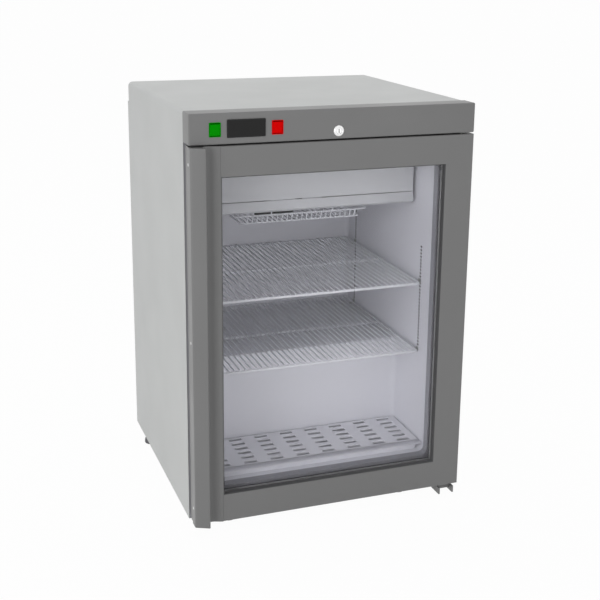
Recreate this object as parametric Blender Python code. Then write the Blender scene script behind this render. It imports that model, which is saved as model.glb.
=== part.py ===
"""Under-counter display refrigerator with one glass door.

All sizes are in metres, with +Z up. The front faces -Y and the left side lies at -X. The origin is on
the floor, below the middle of the overall box. Depths that end in _SETBACK run back from the front face
of the door.
"""

import math

import bmesh
import bpy
import numpy as np
from mathutils import Matrix, Vector

for old_object in list(bpy.data.objects):
    bpy.data.objects.remove(old_object, do_unlink=True)

# Overall sizes
CABINET_WIDTH = 0.600
OVERALL_HEIGHT = 0.870
SIDE_BACK_SETBACK = 0.570
HANDLE_REACH = 0.019
FOOT_HEIGHT = 0.020
SEAT_GAP = 0.0003
CUT_OVERRUN = 0.004

# Outer sheet metal
SHEET = 0.001
CABINET_SETBACK = 0.044
WRAP_BEND_RADIUS = 0.010
TOP_BACK_SETBACK = 0.560
TOP_BACK_STEP_HEIGHT = 0.045
MOUTH_LIP_DEPTH = 0.018
MOUTH_LIP_THICKNESS = 0.0012

# Moulded liner
SIDE_WALL = 0.055
LINER_WALL = 0.0015
LINER_CORNER_RADIUS = 0.014
CEILING_DROP = 0.095
FLOOR_RISE = 0.063
LINER_BACK_SETBACK = 0.530
STEP_SETBACK = 0.230
STEP_HEIGHT = 0.214
HOLE_RADIUS = 0.0023
HOLE_PITCH = 0.0075
HOLE_BOTTOM_RISE = 0.0145
HOLE_TOP_RISE = 0.074
FRONT_HOLE_SETBACK = 0.112
REAR_HOLE_SETBACK = 0.480

# Compressor bay
BAY_SETBACK = 0.272
BAY_HEIGHT = 0.237
BAY_FLOOR_SHEET = 0.002
BAY_FLOOR_UPSTAND = 0.016
BACK_PANEL_OVERLAP = 0.010
LOUVRE_SIDE_GAP = 0.067
LOUVRE_MIDDLE_GAP = 0.046
LOUVRE_HEIGHT = 0.008
LOUVRE_PITCH = 0.022
LOUVRE_ROWS = 8

# Door
DOOR_DROP = 0.0635
DOOR_BOTTOM_RISE = 0.005
DOOR_THICKNESS = 0.034
STILE_LEFT = 0.0635
STILE_RIGHT = 0.061
RAIL_TOP = 0.060
RAIL_BOTTOM = 0.0595
FRAME_EDGE_CHAMFER = 0.0012
OPENING_CHAMFER = 0.0008
GLASS_SEAT_SETBACK = 0.0107
GLASS_REBATE = 0.0125
PANE = 0.004
GLASS_AIR_SPACE = 0.0114
SPACER_WIDTH = 0.007
SPACER_INSET = 0.004
INNER_FRAME_INSET = 0.0015

# Handle profile along the door's left edge
HANDLE_WIDTH = 0.0618
HANDLE_BASE_SETBACK = 0.0100
HANDLE_SIDE_SETBACK = 0.0140
HANDLE_SIDE_WALL = 0.0020
HANDLE_CORNER_RADIUS = 0.0045
HANDLE_CORNER_REACH = 0.0085
HANDLE_RIDGE_OFFSET = 0.0270
HANDLE_RIDGE_RADIUS = 0.0026
HANDLE_THROAT_OFFSET = 0.0262
HANDLE_VALLEY_SETBACK = 0.0060
HANDLE_VALLEY_OFFSET = 0.0390

# Door gasket, measured from the door's outer edge
GASKET_OUTER_INSET = 0.025
GASKET_WIDTH = 0.022
GASKET_BASE = 0.0016
GASKET_NECK_WIDTH = 0.010
GASKET_NECK = 0.0026
GASKET_HEAD_WIDTH = 0.018
GASKET_HEAD_LIP = 0.0010

# Door hinges
HINGE_INSET = 0.018
HINGE_SETBACK = 0.0205
PIN_RADIUS = 0.004
PIN_HEAD_RADIUS = 0.0065
PIN_HEAD = 0.003
BUSH_WALL = 0.0025
BUSH_LENGTH = 0.014
BRACKET_SHEET = 0.0025
LOWER_BRACKET_LEFT_INSET = 0.044
LOWER_BRACKET_RIGHT_INSET = 0.0095
LOWER_BRACKET_LENGTH = 0.105
LOWER_FLANGE_LENGTH = 0.062
LOWER_FLANGE_DROP = 0.0155
LOWER_WEB_SETBACK = 0.013
LOWER_WEB_DROP = 0.0095
UPPER_BRACKET_WIDTH = 0.036
UPPER_BRACKET_RISE = 0.030
UPPER_PLATE_RISE = 0.0016

# Control fascia
FASCIA_HEIGHT = 0.0602
FASCIA_BEND_RADIUS = 0.0030
FASCIA_BOTTOM_LIP = 0.036

# Rocker switches in the fascia
ROCKER_WIDTH = 0.0192
ROCKER_FACE_HEIGHT = 0.0224
ROCKER_DROP = 0.0318
ROCKER_PIVOT_SETBACK = 0.0010
ROCKER_REACH = 0.0030
ROCKER_VALLEY = 0.0014
ROCKER_DEPTH = 0.0070
ROCKER_TILT_DEGREES = 6.0
SWITCH_CLEARANCE = 0.0005
SWITCH_WALL = 0.0008
SWITCH_FLANGE = 0.0010
SWITCH_FLANGE_RIM = 0.0007
SWITCH_DEPTH = 0.026
SWITCH_CAVITY_DEPTH = 0.017
GREEN_SWITCH_INSET = 0.051
RED_SWITCH_INSET = 0.1753

# Temperature controller in the fascia
DISPLAY_INSET = 0.1128
DISPLAY_WIDTH = 0.0765
DISPLAY_HEIGHT = 0.0347
DISPLAY_DROP = 0.0307
DISPLAY_THICKNESS = 0.0015
DISPLAY_CORNER = 0.0012
CONTROLLER_WIDTH = 0.071
CONTROLLER_HEIGHT = 0.029
CONTROLLER_DEPTH = 0.038

# Lock in the fascia
LOCK_OFFSET = 0.0014
LOCK_DROP = 0.0442
LOCK_HEAD_RADIUS = 0.0110
LOCK_HEAD = 0.0025
LOCK_BODY_RADIUS = 0.0090
LOCK_BODY_LENGTH = 0.0210
LOCK_PLUG_RADIUS = 0.0062
LOCK_PLUG_RECESS = 0.0006
KEYWAY_WIDTH = 0.0018
KEYWAY_HEIGHT = 0.0076
KEYWAY_DEPTH = 0.0080
CAM_THICKNESS = 0.0025
CAM_HALF_WIDTH = 0.0055
CAM_LENGTH = 0.0260
CAM_SLOT_MARGIN = 0.0020
KEEPER_SLOT_DEPTH = 0.0090

# Evaporator cover under the ceiling
COVER_SETBACK = 0.145
COVER_BACK_GAP = 0.008
COVER_SIDE_GAP = 0.008
COVER_SHEET = 0.002
COVER_HEIGHT = 0.139
COVER_FOLD_HEIGHT = 0.022
COVER_NOSE = 0.004
FAN_OPENING_RADIUS = 0.078
FAN_SETBACK = 0.295

# Evaporator and its fan
FAN_SWEEP_RADIUS = 0.074
FAN_HUB_RADIUS = 0.020
FAN_HUB_LENGTH = 0.018
FAN_BLADES = 5
FAN_BLADE_CHORD = 0.040
FAN_BLADE_THICKNESS = 0.0016
FAN_BLADE_ROOT_DEGREES = 34.0
FAN_BLADE_TIP_DEGREES = 20.0
MOTOR_RADIUS = 0.034
MOTOR_LENGTH = 0.042
MOTOR_ARM_WIDTH = 0.014
MOTOR_ARM_SHEET = 0.002
MOTOR_SHAFT_RADIUS = 0.003
FAN_RUNNING_GAP = 0.0020
EVAPORATOR_BACK_GAP = 0.020
EVAPORATOR_DEPTH = 0.075
EVAPORATOR_SIDE_GAP = 0.045
EVAPORATOR_HEIGHT = 0.104
COIL_TUBE_RADIUS = 0.0045
COIL_FINS = 9
COIL_FIN_THICKNESS = 0.0012
COIL_PASSES = 3

# Wire guard under the fan
GUARD_LENGTH = 0.190
GUARD_TOP_HALF_WIDTH = 0.149
GUARD_BOTTOM_HALF_WIDTH = 0.136
GUARD_HANG = 0.016
GUARD_DEPTH = 0.021
GUARD_SLOPE = 0.010
GUARD_WIRE = 0.0026
GUARD_RING_WIRE = 0.0034
GUARD_WIRES = 21
GUARD_WIRE_PITCH = 0.0124
GUARD_HOOK_SHARES = (0.15, 0.85)

# Wire shelves
SHELF_SIDE_GAP = 0.0035
SHELF_FRONT_SETBACK = 0.097
SHELF_BACK_GAP = 0.0035
LOWER_SHELF_RISE = 0.017
UPPER_SHELF_SHARE = 0.4845
SHELF_RIM_WIRE = 0.0060
SHELF_CORNER = 0.006
SHELF_CROSS_WIRE = 0.0060
SHELF_WIRE = 0.0034
SHELF_WIRE_PITCH = 0.0123
SHELF_WELD = 0.0007

# Shelf clips
CLIP_WIDTH = 0.010
CLIP_SHOULDER = 0.003
CLIP_SHEET = 0.0010
CLIP_STANDOFF = 0.0021
CLIP_TONGUE = 0.010
CLIP_PEG = 0.0011

# Perforated floor tray
TRAY_RISE = 0.019
TRAY_SETBACK = 0.083
TRAY_BACK_GAP = 0.0045
TRAY_SIDE_GAP = 0.003
TRAY_SHEET = 0.0015
TRAY_LIP_TAPER = 0.013
TRAY_REAR_LIP_RISE = 0.0060
TRAY_BACK_CORNER = 0.004
TRAY_COLUMNS = 8
TRAY_ROWS = 6
TRAY_SIDE_MARGIN = 0.032
TRAY_ROW_PITCH = 0.0231
TRAY_SLOT_LENGTH = 0.0295
TRAY_SLOT_WIDTH = 0.0050

# Compressor and its tubes
COMPRESSOR_PLACE_SHARE = 7 / 15
COMPRESSOR_BACK_GAP = 0.069
COMPRESSOR_HALF_WIDTH = 0.088
COMPRESSOR_HALF_DEPTH = 0.070
COMPRESSOR_HEIGHT = 0.150
COMPRESSOR_RIM = 0.003
COMPRESSOR_FULLNESS_SHARE = 0.8
COMPRESSOR_FOOT_RISE = 0.008
COMPRESSOR_FOOT_SHEET = 0.003
COMPRESSOR_FOOT_LENGTH = 0.200
COMPRESSOR_FOOT_WIDTH = 0.120
PAN_HALF_WIDTH = 0.080
PAN_HALF_DEPTH = 0.062
PAN_HEIGHT = 0.030
PAN_WALL = 0.002
COPPER_RADIUS = 0.004
SUCTION_OFFSET = -0.020
DRAIN_RADIUS = 0.006
TUBE_BEND_RADIUS = 0.020
TUBE_PANEL_GAP = 0.0135

# Condenser and its fan
CONDENSER_PLACE_SHARE = 8 / 15
CONDENSER_BACK_GAP = 0.039
CONDENSER_DEPTH = 0.050
CONDENSER_WIDTH_SHARE = 19 / 60
CONDENSER_HEIGHT = 0.180
CONDENSER_FAN_GAP = 0.008
GLAND_RADIUS = 0.009
GLAND_LENGTH = 0.010
GLAND_BORE_RADIUS = 0.004
GLAND_INSET = 0.047
GLAND_RISE = 0.040

# Feet
FRONT_LEFT_FOOT_INSET = 0.089
FRONT_RIGHT_FOOT_INSET = 0.118
REAR_FOOT_INSET = 0.018
FRONT_FOOT_SETBACK = 0.060
REAR_FOOT_SETBACK = 0.480
FOOT_RADIUS = 0.0175
FOOT_PAD = 0.004
FOOT_NECK_RADIUS = 0.009
FOOT_STUD_RADIUS = 0.004
FOOT_STUD_LENGTH = 0.016

# Fineness of the curves
ROUND_SIDES = 24
FOOT_SIDES = 14
LOCK_SIDES = 20
PIN_SIDES = 12
TUBE_SIDES = 8
COIL_TUBE_SIDES = 4
TUBE_BEND_STEPS = 3
BEND_STEPS = 4
CORNER_STEPS = 3
CAN_SIDES = 20
SMOOTH_DEGREES = 40.0

# Places that follow from the sizes
HALF_WIDTH = CABINET_WIDTH / 2
DOOR_FACE_Y = (HANDLE_REACH - SIDE_BACK_SETBACK) / 2
CABINET_Y = DOOR_FACE_Y + CABINET_SETBACK
SIDE_BACK_Y = DOOR_FACE_Y + SIDE_BACK_SETBACK
TOP_BACK_Y = DOOR_FACE_Y + TOP_BACK_SETBACK
PANEL_FRONT_Y = TOP_BACK_Y - SHEET
BODY_BOTTOM = FOOT_HEIGHT
INNER_HALF_WIDTH = HALF_WIDTH - SIDE_WALL
BEHIND_WRAP = HALF_WIDTH - SHEET - SEAT_GAP
FLOOR_Z = BODY_BOTTOM + FLOOR_RISE
CEILING_Z = OVERALL_HEIGHT - CEILING_DROP
STEP_Z = FLOOR_Z + STEP_HEIGHT
STEP_Y = DOOR_FACE_Y + STEP_SETBACK
LINER_FRONT_Y = CABINET_Y + SHEET + SEAT_GAP
LINER_BACK_Y = DOOR_FACE_Y + LINER_BACK_SETBACK
COVER_BOTTOM = CEILING_Z - COVER_HEIGHT
COVER_BACK_Y = LINER_BACK_Y - COVER_BACK_GAP
COVER_HALF_WIDTH = INNER_HALF_WIDTH - COVER_SIDE_GAP
LOWER_SHELF_Z = STEP_Z + LOWER_SHELF_RISE
UPPER_SHELF_Z = LOWER_SHELF_Z + (COVER_BOTTOM - LOWER_SHELF_Z) * UPPER_SHELF_SHARE
BAY_Y = DOOR_FACE_Y + BAY_SETBACK
BAY_TOP_Z = BODY_BOTTOM + BAY_HEIGHT
BAY_FLOOR_TOP = BODY_BOTTOM + BAY_FLOOR_SHEET
DOOR_TOP = OVERALL_HEIGHT - DOOR_DROP
DOOR_BOTTOM = BODY_BOTTOM + DOOR_BOTTOM_RISE
DOOR_BACK_Y = DOOR_FACE_Y + DOOR_THICKNESS
HINGE_X = HALF_WIDTH - HINGE_INSET
HINGE_Y = DOOR_FACE_Y + HINGE_SETBACK
FASCIA_BOTTOM = OVERALL_HEIGHT - FASCIA_HEIGHT


def finish(name, red, green, blue, roughness, metallic=0.0, opacity=1.0):
    """Returns a Principled material of the given sRGB colour."""
    made = bpy.data.materials.new(name)
    made.use_nodes = True
    shader = made.node_tree.nodes["Principled BSDF"]
    linear = [((c + 0.055) / 1.055) ** 2.4 if c > 0.04045 else c / 12.92 for c in (red, green, blue)]
    shader.inputs["Base Color"].default_value = (*linear, 1.0)
    shader.inputs["Roughness"].default_value = roughness
    shader.inputs["Metallic"].default_value = metallic
    shader.inputs["Alpha"].default_value = opacity
    made.diffuse_color = (red, green, blue, opacity)
    return made


CABINET_PAINT = finish("cabinet_paint", 0.75, 0.76, 0.75, 0.45)
FASCIA_PAINT = finish("fascia_paint", 0.48, 0.48, 0.48, 0.45)
HANDLE_PAINT = finish("handle_paint", 0.50, 0.50, 0.50, 0.42)
LINER_PLASTIC = finish("liner_plastic", 0.80, 0.81, 0.83, 0.40)
COVER_PLASTIC = finish("cover_plastic", 0.76, 0.77, 0.78, 0.45)
FOAM = finish("polyurethane_foam", 0.86, 0.80, 0.62, 0.95)
GALVANISED = finish("galvanised_steel", 0.62, 0.63, 0.64, 0.45, 0.9)
WIRE_COATING = finish("white_wire_coating", 0.82, 0.83, 0.86, 0.35)
TRAY_PAINT = finish("tray_paint", 0.80, 0.80, 0.82, 0.40)
DARK_RUBBER = finish("dark_rubber", 0.28, 0.28, 0.29, 0.75)
GLASS = finish("window_glass", 0.90, 0.93, 0.93, 0.03, 0.0, 0.25)
ALUMINIUM = finish("aluminium", 0.66, 0.67, 0.68, 0.35, 0.9)
INNER_TRIM = finish("inner_trim", 0.42, 0.42, 0.43, 0.50)
GREEN_PLASTIC = finish("green_plastic", 0.04, 0.60, 0.04, 0.30)
RED_PLASTIC = finish("red_plastic", 0.86, 0.02, 0.02, 0.30)
BLACK_PLASTIC = finish("black_plastic", 0.10, 0.10, 0.10, 0.45)
DISPLAY_PLASTIC = finish("display_plastic", 0.16, 0.16, 0.16, 0.20)
CHROME = finish("chromed_brass", 0.88, 0.88, 0.88, 0.20, 1.0)
ZINC_STEEL = finish("zinc_plated_steel", 0.55, 0.55, 0.55, 0.40, 0.8)
COMPRESSOR_BLACK = finish("compressor_enamel", 0.08, 0.08, 0.09, 0.40)
COPPER = finish("copper", 0.72, 0.44, 0.30, 0.35, 0.9)
FOOT_PLASTIC = finish("foot_plastic", 0.42, 0.42, 0.44, 0.60)
WHITE_PLASTIC = finish("white_plastic", 0.86, 0.86, 0.86, 0.45)


def placed(axis, across, up, along):
    """Turns a place in a profile's own plane, and its place along axis, into x, y and z."""
    if axis == "x":
        return (along, across, up)
    if axis == "y":
        return (across, along, up)
    return (across, up, along)


def prism(outline, axis, start, end):
    """A closed outline carried from start to end along axis: (y, z) for x, (x, z) for y and (x, y) for z."""
    count = len(outline)
    points = [placed(axis, a, b, start) for a, b in outline] + [placed(axis, a, b, end) for a, b in outline]
    faces = [tuple(range(count)), tuple(range(count, 2 * count))]
    for i in range(count):
        j = (i + 1) % count
        faces.append((i, j, j + count, i + count))
    return points, faces


def block(low, high):
    """A rectangular block between two corners."""
    outline = [(low[0], low[1]), (high[0], low[1]), (high[0], high[1]), (low[0], high[1])]
    return prism(outline, "z", low[2], high[2])


def arc(centre, radius, start, end, steps):
    """Points on a circle from start to end degrees, both ends included."""
    angles = np.radians(np.linspace(start, end, steps + 1))
    return [(centre[0] + radius * math.cos(a), centre[1] + radius * math.sin(a)) for a in angles]


def circle(centre, radius, sides, turn=0.0):
    """A regular outline round centre, its first corner at turn degrees."""
    return arc(centre, radius, turn, turn + 360.0, sides)[:-1]


def curve(start, start_pull, end_pull, end, steps):
    """Points on a cubic Bezier curve, without its first."""
    points = []
    for t in np.linspace(0.0, 1.0, steps + 1)[1:]:
        weights = ((1 - t) ** 3, 3 * t * (1 - t) ** 2, 3 * t ** 2 * (1 - t), t ** 3)
        knots = (start, start_pull, end_pull, end)
        points.append(tuple(sum(w * k[i] for w, k in zip(weights, knots)) for i in (0, 1)))
    return points


def folded(path, thickness):
    """The closed outline of a bent sheet: path is one face, and the other lies thickness to its left."""
    other = []
    for i, point in enumerate(path):
        here = Vector(point)
        normals = []
        if i > 0:
            before = (here - Vector(path[i - 1])).normalized()
            normals.append(Vector((-before.y, before.x)))
        if i < len(path) - 1:
            after = (Vector(path[i + 1]) - here).normalized()
            normals.append(Vector((-after.y, after.x)))
        mitre = sum(normals, Vector((0.0, 0.0))).normalized()
        other.append(tuple(here + mitre * (thickness / mitre.dot(normals[0]))))
    return list(path) + other[::-1]


def turned(profile, centre, axis, sides):
    """A profile of (radius, place along axis) turned about the axis line through centre.

    A profile that starts and ends at radius 0 makes a solid, and any other profile is closed into a ring.
    """
    solid_form = profile[0][0] == 0 and profile[-1][0] == 0
    points = []
    rows = []
    for radius, along in profile:
        count = 1 if radius == 0 else sides
        row = []
        for k in range(count):
            angle = 2 * math.pi * k / sides
            a = centre[0] + radius * math.cos(angle)
            b = centre[1] + radius * math.sin(angle)
            row.append(len(points))
            points.append(placed(axis, a, b, along))
        rows.append(row)
    faces = []
    pairs = list(zip(rows, rows[1:]))
    if not solid_form:
        pairs.append((rows[-1], rows[0]))
    for near, far in pairs:
        for k in range(sides):
            j = (k + 1) % sides
            corners = [near[k % len(near)], near[j % len(near)], far[j % len(far)], far[k % len(far)]]
            face = []
            for corner in corners:
                if corner not in face:
                    face.append(corner)
            if len(face) > 2:
                faces.append(tuple(face))
    return points, faces


def bent(route, radius, steps):
    """A route of straight runs whose corners are rounded to radius."""
    corners = [Vector(p) for p in route]
    points = [corners[0]]
    for before, corner, after in zip(corners, corners[1:], corners[2:]):
        back = (before - corner).normalized()
        ahead = (after - corner).normalized()
        half = back.angle(ahead) / 2
        reach = radius / math.tan(half)
        centre = corner + (back + ahead).normalized() * (radius / math.sin(half))
        start = corner + back * reach - centre
        end = corner + ahead * reach - centre
        sweep = start.angle(end)
        for k in range(steps + 1):
            t = k / steps
            mixed = start * math.sin((1 - t) * sweep) + end * math.sin(t * sweep)
            points.append(centre + mixed / math.sin(sweep))
    points.append(corners[-1])
    return points


def tube(path, radius, sides, turn=0.0):
    """A round bar along path, with flat ends. Its section twists as little as it can along the way."""
    spots = [Vector(p) for p in path]
    ahead = (spots[1] - spots[0]).normalized()
    guide = Vector((0.0, 0.0, 1.0))
    if abs(ahead.z) > math.cos(math.pi / 4):
        guide = Vector((0.0, 1.0, 0.0))
    side = ahead.cross(guide).normalized()
    points = []
    for i, spot in enumerate(spots):
        before = (spot - spots[i - 1]).normalized() if i > 0 else ahead
        after = (spots[i + 1] - spot).normalized() if i < len(spots) - 1 else before
        tangent = (before + after).normalized()
        side = (side - tangent * side.dot(tangent)).normalized()
        rise = side.cross(tangent)
        stretch = 1 / max(tangent.dot(before), math.sqrt(1 / 2))
        lean = before.cross(after)
        for k in range(sides):
            angle = math.radians(turn) + 2 * math.pi * k / sides
            spoke = side * math.cos(angle) + rise * math.sin(angle)
            if lean.length > 0:
                inward = tangent.cross(lean).normalized()
                spoke = spoke + inward * (spoke.dot(inward) * (stretch - 1))
            points.append(tuple(spot + spoke * radius))
    rings = len(spots)
    faces = [tuple(range(sides)), tuple(range((rings - 1) * sides, rings * sides))]
    for i in range(rings - 1):
        for k in range(sides):
            j = (k + 1) % sides
            faces.append((i * sides + k, i * sides + j, (i + 1) * sides + j, (i + 1) * sides + k))
    return points, faces


def rectangle_ring(loops):
    """A ring lofted through rectangles of (x0, x1, z0, z1, y), the last joined to the first."""
    points = []
    for x0, x1, z0, z1, y in loops:
        points += [(x0, y, z0), (x1, y, z0), (x1, y, z1), (x0, y, z1)]
    faces = []
    count = len(loops)
    for i in range(count):
        j = (i + 1) % count
        for k in range(4):
            m = (k + 1) % 4
            faces.append((4 * i + k, 4 * i + m, 4 * j + m, 4 * j + k))
    return points, faces


def rounded(rectangle, inset, radius):
    """The outline of a rectangle taken in by inset, its corners rounded about the full one's centres."""
    x0, x1, z0, z1 = rectangle
    points = []
    for x, z, start in ((x1 - radius, z1 - radius, 0.0), (x0 + radius, z1 - radius, 90.0),
                        (x0 + radius, z0 + radius, 180.0), (x1 - radius, z0 + radius, 270.0)):
        points += arc((x, z), radius - inset, start, start + 90.0, CORNER_STEPS)
    return points


def grown(rectangle, inset, y):
    """A rectangle of (x0, x1, z0, z1) taken in by inset on each side, at depth y."""
    x0, x1, z0, z1 = rectangle
    return (x0 + inset, x1 - inset, z0 + inset, z1 - inset, y)


def body(name, shapes, material, smooth_degrees=0.0):
    """Makes one named object from shapes, each a list of points and a list of faces."""
    shell = bmesh.new()
    for points, faces in shapes:
        corners = [shell.verts.new(p) for p in points]
        for face in faces:
            shell.faces.new([corners[i] for i in face])
    bmesh.ops.recalc_face_normals(shell, faces=shell.faces)
    mesh = bpy.data.meshes.new(name)
    shell.to_mesh(mesh)
    shell.free()
    mesh.materials.append(material)
    if smooth_degrees > 0:
        mesh.shade_smooth()
        mesh.set_sharp_from_angle(angle=math.radians(smooth_degrees))
    made = bpy.data.objects.new(name, mesh)
    bpy.context.scene.collection.objects.link(made)
    return made


def tool(name, shapes):
    """Makes a hidden object that only cuts or joins others."""
    made = body(name, shapes, GALVANISED)
    made.hide_render = True
    made.display_type = "WIRE"
    return made


def combine(target, other, operation):
    """Adds an exact Boolean with the hidden object other to target."""
    step = target.modifiers.new(other.name, "BOOLEAN")
    step.operation = operation
    step.solver = "EXACT"
    step.object = other


def hang(pieces, axis_name, point):
    """Parents the pieces to an empty that stands on their joint's axis, leaving them where they are."""
    holder = bpy.data.objects.new(axis_name, None)
    holder.location = point
    bpy.context.scene.collection.objects.link(holder)
    for piece in pieces:
        piece.parent = holder
        piece.matrix_parent_inverse = Matrix.Translation(-Vector(point))


def set_origin(piece, point):
    """Moves a piece's origin to a point on its joint's axis, leaving its surface where it is."""
    piece.data.transform(Matrix.Translation(-Vector(point)))
    piece.location = point


def wrap_outline(inset, bottom, steps):
    """The outline in x and z of the space inside the wrap, taken in by inset all round, down to bottom."""
    side = HALF_WIDTH - inset
    top = OVERALL_HEIGHT - inset
    radius = WRAP_BEND_RADIUS - inset
    left = arc((radius - side, top - radius), radius, 180.0, 90.0, steps)
    right = arc((side - radius, top - radius), radius, 90.0, 0.0, steps)
    return [(-side, bottom)] + left + right + [(side, bottom)]


# Outer wrap: one sheet bent over the top and down both sides, its top stopping short of the sides at the back
outer_run = wrap_outline(0, BODY_BOTTOM, BEND_STEPS)
inner_run = wrap_outline(SHEET, BODY_BOTTOM, BEND_STEPS)
outer_wrap = body(
    "outer_wrap", [prism(outer_run + inner_run[::-1], "y", CABINET_Y, SIDE_BACK_Y)], CABINET_PAINT,
    SMOOTH_DEGREES,
)
step_low = (-HALF_WIDTH - CUT_OVERRUN, TOP_BACK_Y, OVERALL_HEIGHT - TOP_BACK_STEP_HEIGHT)
step_high = (HALF_WIDTH + CUT_OVERRUN, SIDE_BACK_Y + CUT_OVERRUN, OVERALL_HEIGHT + CUT_OVERRUN)
combine(outer_wrap, tool("wrap_step_cutter", [block(step_low, step_high)]), "DIFFERENCE")

# Mouth frame: the steel ring that the gasket closes on, with a lip turned into the mouth
mouth = (-INNER_HALF_WIDTH, INNER_HALF_WIDTH, FLOOR_Z, CEILING_Z)
frame_outer = (-BEHIND_WRAP, BEHIND_WRAP, BODY_BOTTOM, OVERALL_HEIGHT - WRAP_BEND_RADIUS - SEAT_GAP)
lip_outer = SEAT_GAP
lip_inner = lip_outer + MOUTH_LIP_THICKNESS
fx0, fx1, fz0, fz1 = frame_outer
mouth_plate = [(fx0, fz0), (fx1, fz0), (fx1, fz1), (fx0, fz1)]
front_frame = body("front_frame", [prism(mouth_plate, "y", CABINET_Y, CABINET_Y + SHEET)], LINER_PLASTIC)
mouth_back_y = CABINET_Y + MOUTH_LIP_DEPTH
mouth_sleeve = prism(
    rounded(mouth, lip_outer, LINER_CORNER_RADIUS), "y", CABINET_Y + SHEET / 2, mouth_back_y,
)
combine(front_frame, tool("mouth_sleeve", [mouth_sleeve]), "UNION")
mouth_hole = rounded(mouth, lip_inner, LINER_CORNER_RADIUS)
mouth_cut = prism(mouth_hole, "y", CABINET_Y - CUT_OVERRUN, mouth_back_y + CUT_OVERRUN)
combine(front_frame, tool("mouth_hole_cutter", [mouth_cut]), "DIFFERENCE")


def front_face(core):
    """The flat face of a core that lies furthest forward."""
    return min(core.faces, key=lambda f: max(v.co.y for v in f.verts))


def liner_core(growth, front_y):
    """The space inside the liner with its edges rounded, grown outwards by growth and open at front_y.

    Its side view has the raised step over the compressor bay. Returns a bmesh whose front face comes first.
    """
    side = INNER_HALF_WIDTH + growth
    floor = FLOOR_Z - growth
    back = LINER_BACK_Y + growth
    ceiling = CEILING_Z + growth
    view = [
        (front_y, floor), (STEP_Y + growth, floor), (STEP_Y + growth, STEP_Z - growth),
        (back, STEP_Z - growth), (back, ceiling), (front_y, ceiling),
    ]
    points, faces = prism(view, "x", -side, side)
    core = bmesh.new()
    corners = [core.verts.new(p) for p in points]
    for face in faces:
        core.faces.new([corners[i] for i in face])
    bmesh.ops.recalc_face_normals(core, faces=core.faces)
    kept = set(front_face(core).edges)
    rounded = [e for e in core.edges if e not in kept]
    bmesh.ops.bevel(
        core, geom=rounded, offset=LINER_CORNER_RADIUS + growth, segments=CORNER_STEPS, profile=0.5,
        affect="EDGES",
    )
    return core


def core_tool(name, growth):
    """A hidden object of the space inside the liner, grown by growth and run out past the cabinet's front."""
    core = liner_core(growth, LINER_FRONT_Y - CUT_OVERRUN)
    mesh = bpy.data.meshes.new(name)
    core.to_mesh(mesh)
    core.free()
    made = bpy.data.objects.new(name, mesh)
    made.hide_render = True
    made.display_type = "WIRE"
    bpy.context.scene.collection.objects.link(made)
    return made


# Liner: one moulded shell, open at the front, with four columns of holes for the shelf clips
liner_mesh = bpy.data.meshes.new("inner_liner")
liner_shell = liner_core(0, LINER_FRONT_Y)
bmesh.ops.delete(liner_shell, geom=[front_face(liner_shell)], context="FACES_ONLY")
bmesh.ops.reverse_faces(liner_shell, faces=liner_shell.faces)
liner_shell.to_mesh(liner_mesh)
liner_shell.free()
liner_mesh.materials.append(LINER_PLASTIC)
inner_liner = bpy.data.objects.new("inner_liner", liner_mesh)
bpy.context.scene.collection.objects.link(inner_liner)
wall = inner_liner.modifiers.new("wall", "SOLIDIFY")
wall.thickness = LINER_WALL
wall.offset = -1.0
wall.use_even_offset = True

FRONT_HOLE_Y = DOOR_FACE_Y + FRONT_HOLE_SETBACK
REAR_HOLE_Y = DOOR_FACE_Y + REAR_HOLE_SETBACK
LAST_HOLE_Z = STEP_Z + HOLE_BOTTOM_RISE
HOLES_IN_COLUMN = round((UPPER_SHELF_Z + HOLE_TOP_RISE - LAST_HOLE_Z) / HOLE_PITCH) + 1
FIRST_HOLE_Z = LAST_HOLE_Z + (HOLES_IN_COLUMN - 1) * HOLE_PITCH
hole_reach = INNER_HALF_WIDTH + LINER_WALL + CUT_OVERRUN
hole_bars = []
for column_y in (FRONT_HOLE_Y, REAR_HOLE_Y):
    for k in range(HOLES_IN_COLUMN):
        hole_centre = (column_y, FIRST_HOLE_Z - k * HOLE_PITCH)
        hole_bars.append(prism(circle(hole_centre, HOLE_RADIUS, 4), "x", -hole_reach, hole_reach))
combine(inner_liner, tool("clip_hole_cutter", hole_bars), "DIFFERENCE")

# Service channels: the suction tube and the drain run down behind the liner into the compressor bay
DRAIN_TOP_Z = COVER_BOTTOM + TUBE_BEND_RADIUS * 2
TUBE_BACK_Y = PANEL_FRONT_Y - TUBE_PANEL_GAP
COMPRESSOR_X = HALF_WIDTH * COMPRESSOR_PLACE_SHARE
COMPRESSOR_Y = PANEL_FRONT_Y - COMPRESSOR_BACK_GAP - COMPRESSOR_HALF_DEPTH
COMPRESSOR_BASE_Z = BAY_FLOOR_TOP + COMPRESSOR_FOOT_RISE
COMPRESSOR_TOP_Z = COMPRESSOR_BASE_Z + COMPRESSOR_HEIGHT
PAN_Z = COMPRESSOR_TOP_Z + SEAT_GAP
PAN_TOP_Z = PAN_Z + PAN_HEIGHT
EVAPORATOR_BACK_Y = COVER_BACK_Y - COVER_SHEET - EVAPORATOR_BACK_GAP
EVAPORATOR_TOP_Z = CEILING_Z - SEAT_GAP
EVAPORATOR_Z = EVAPORATOR_TOP_Z - EVAPORATOR_HEIGHT
suction_top_z = EVAPORATOR_Z + EVAPORATOR_HEIGHT / 2
suction_low_z = COMPRESSOR_BASE_Z + COMPRESSOR_HEIGHT / 2
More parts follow.
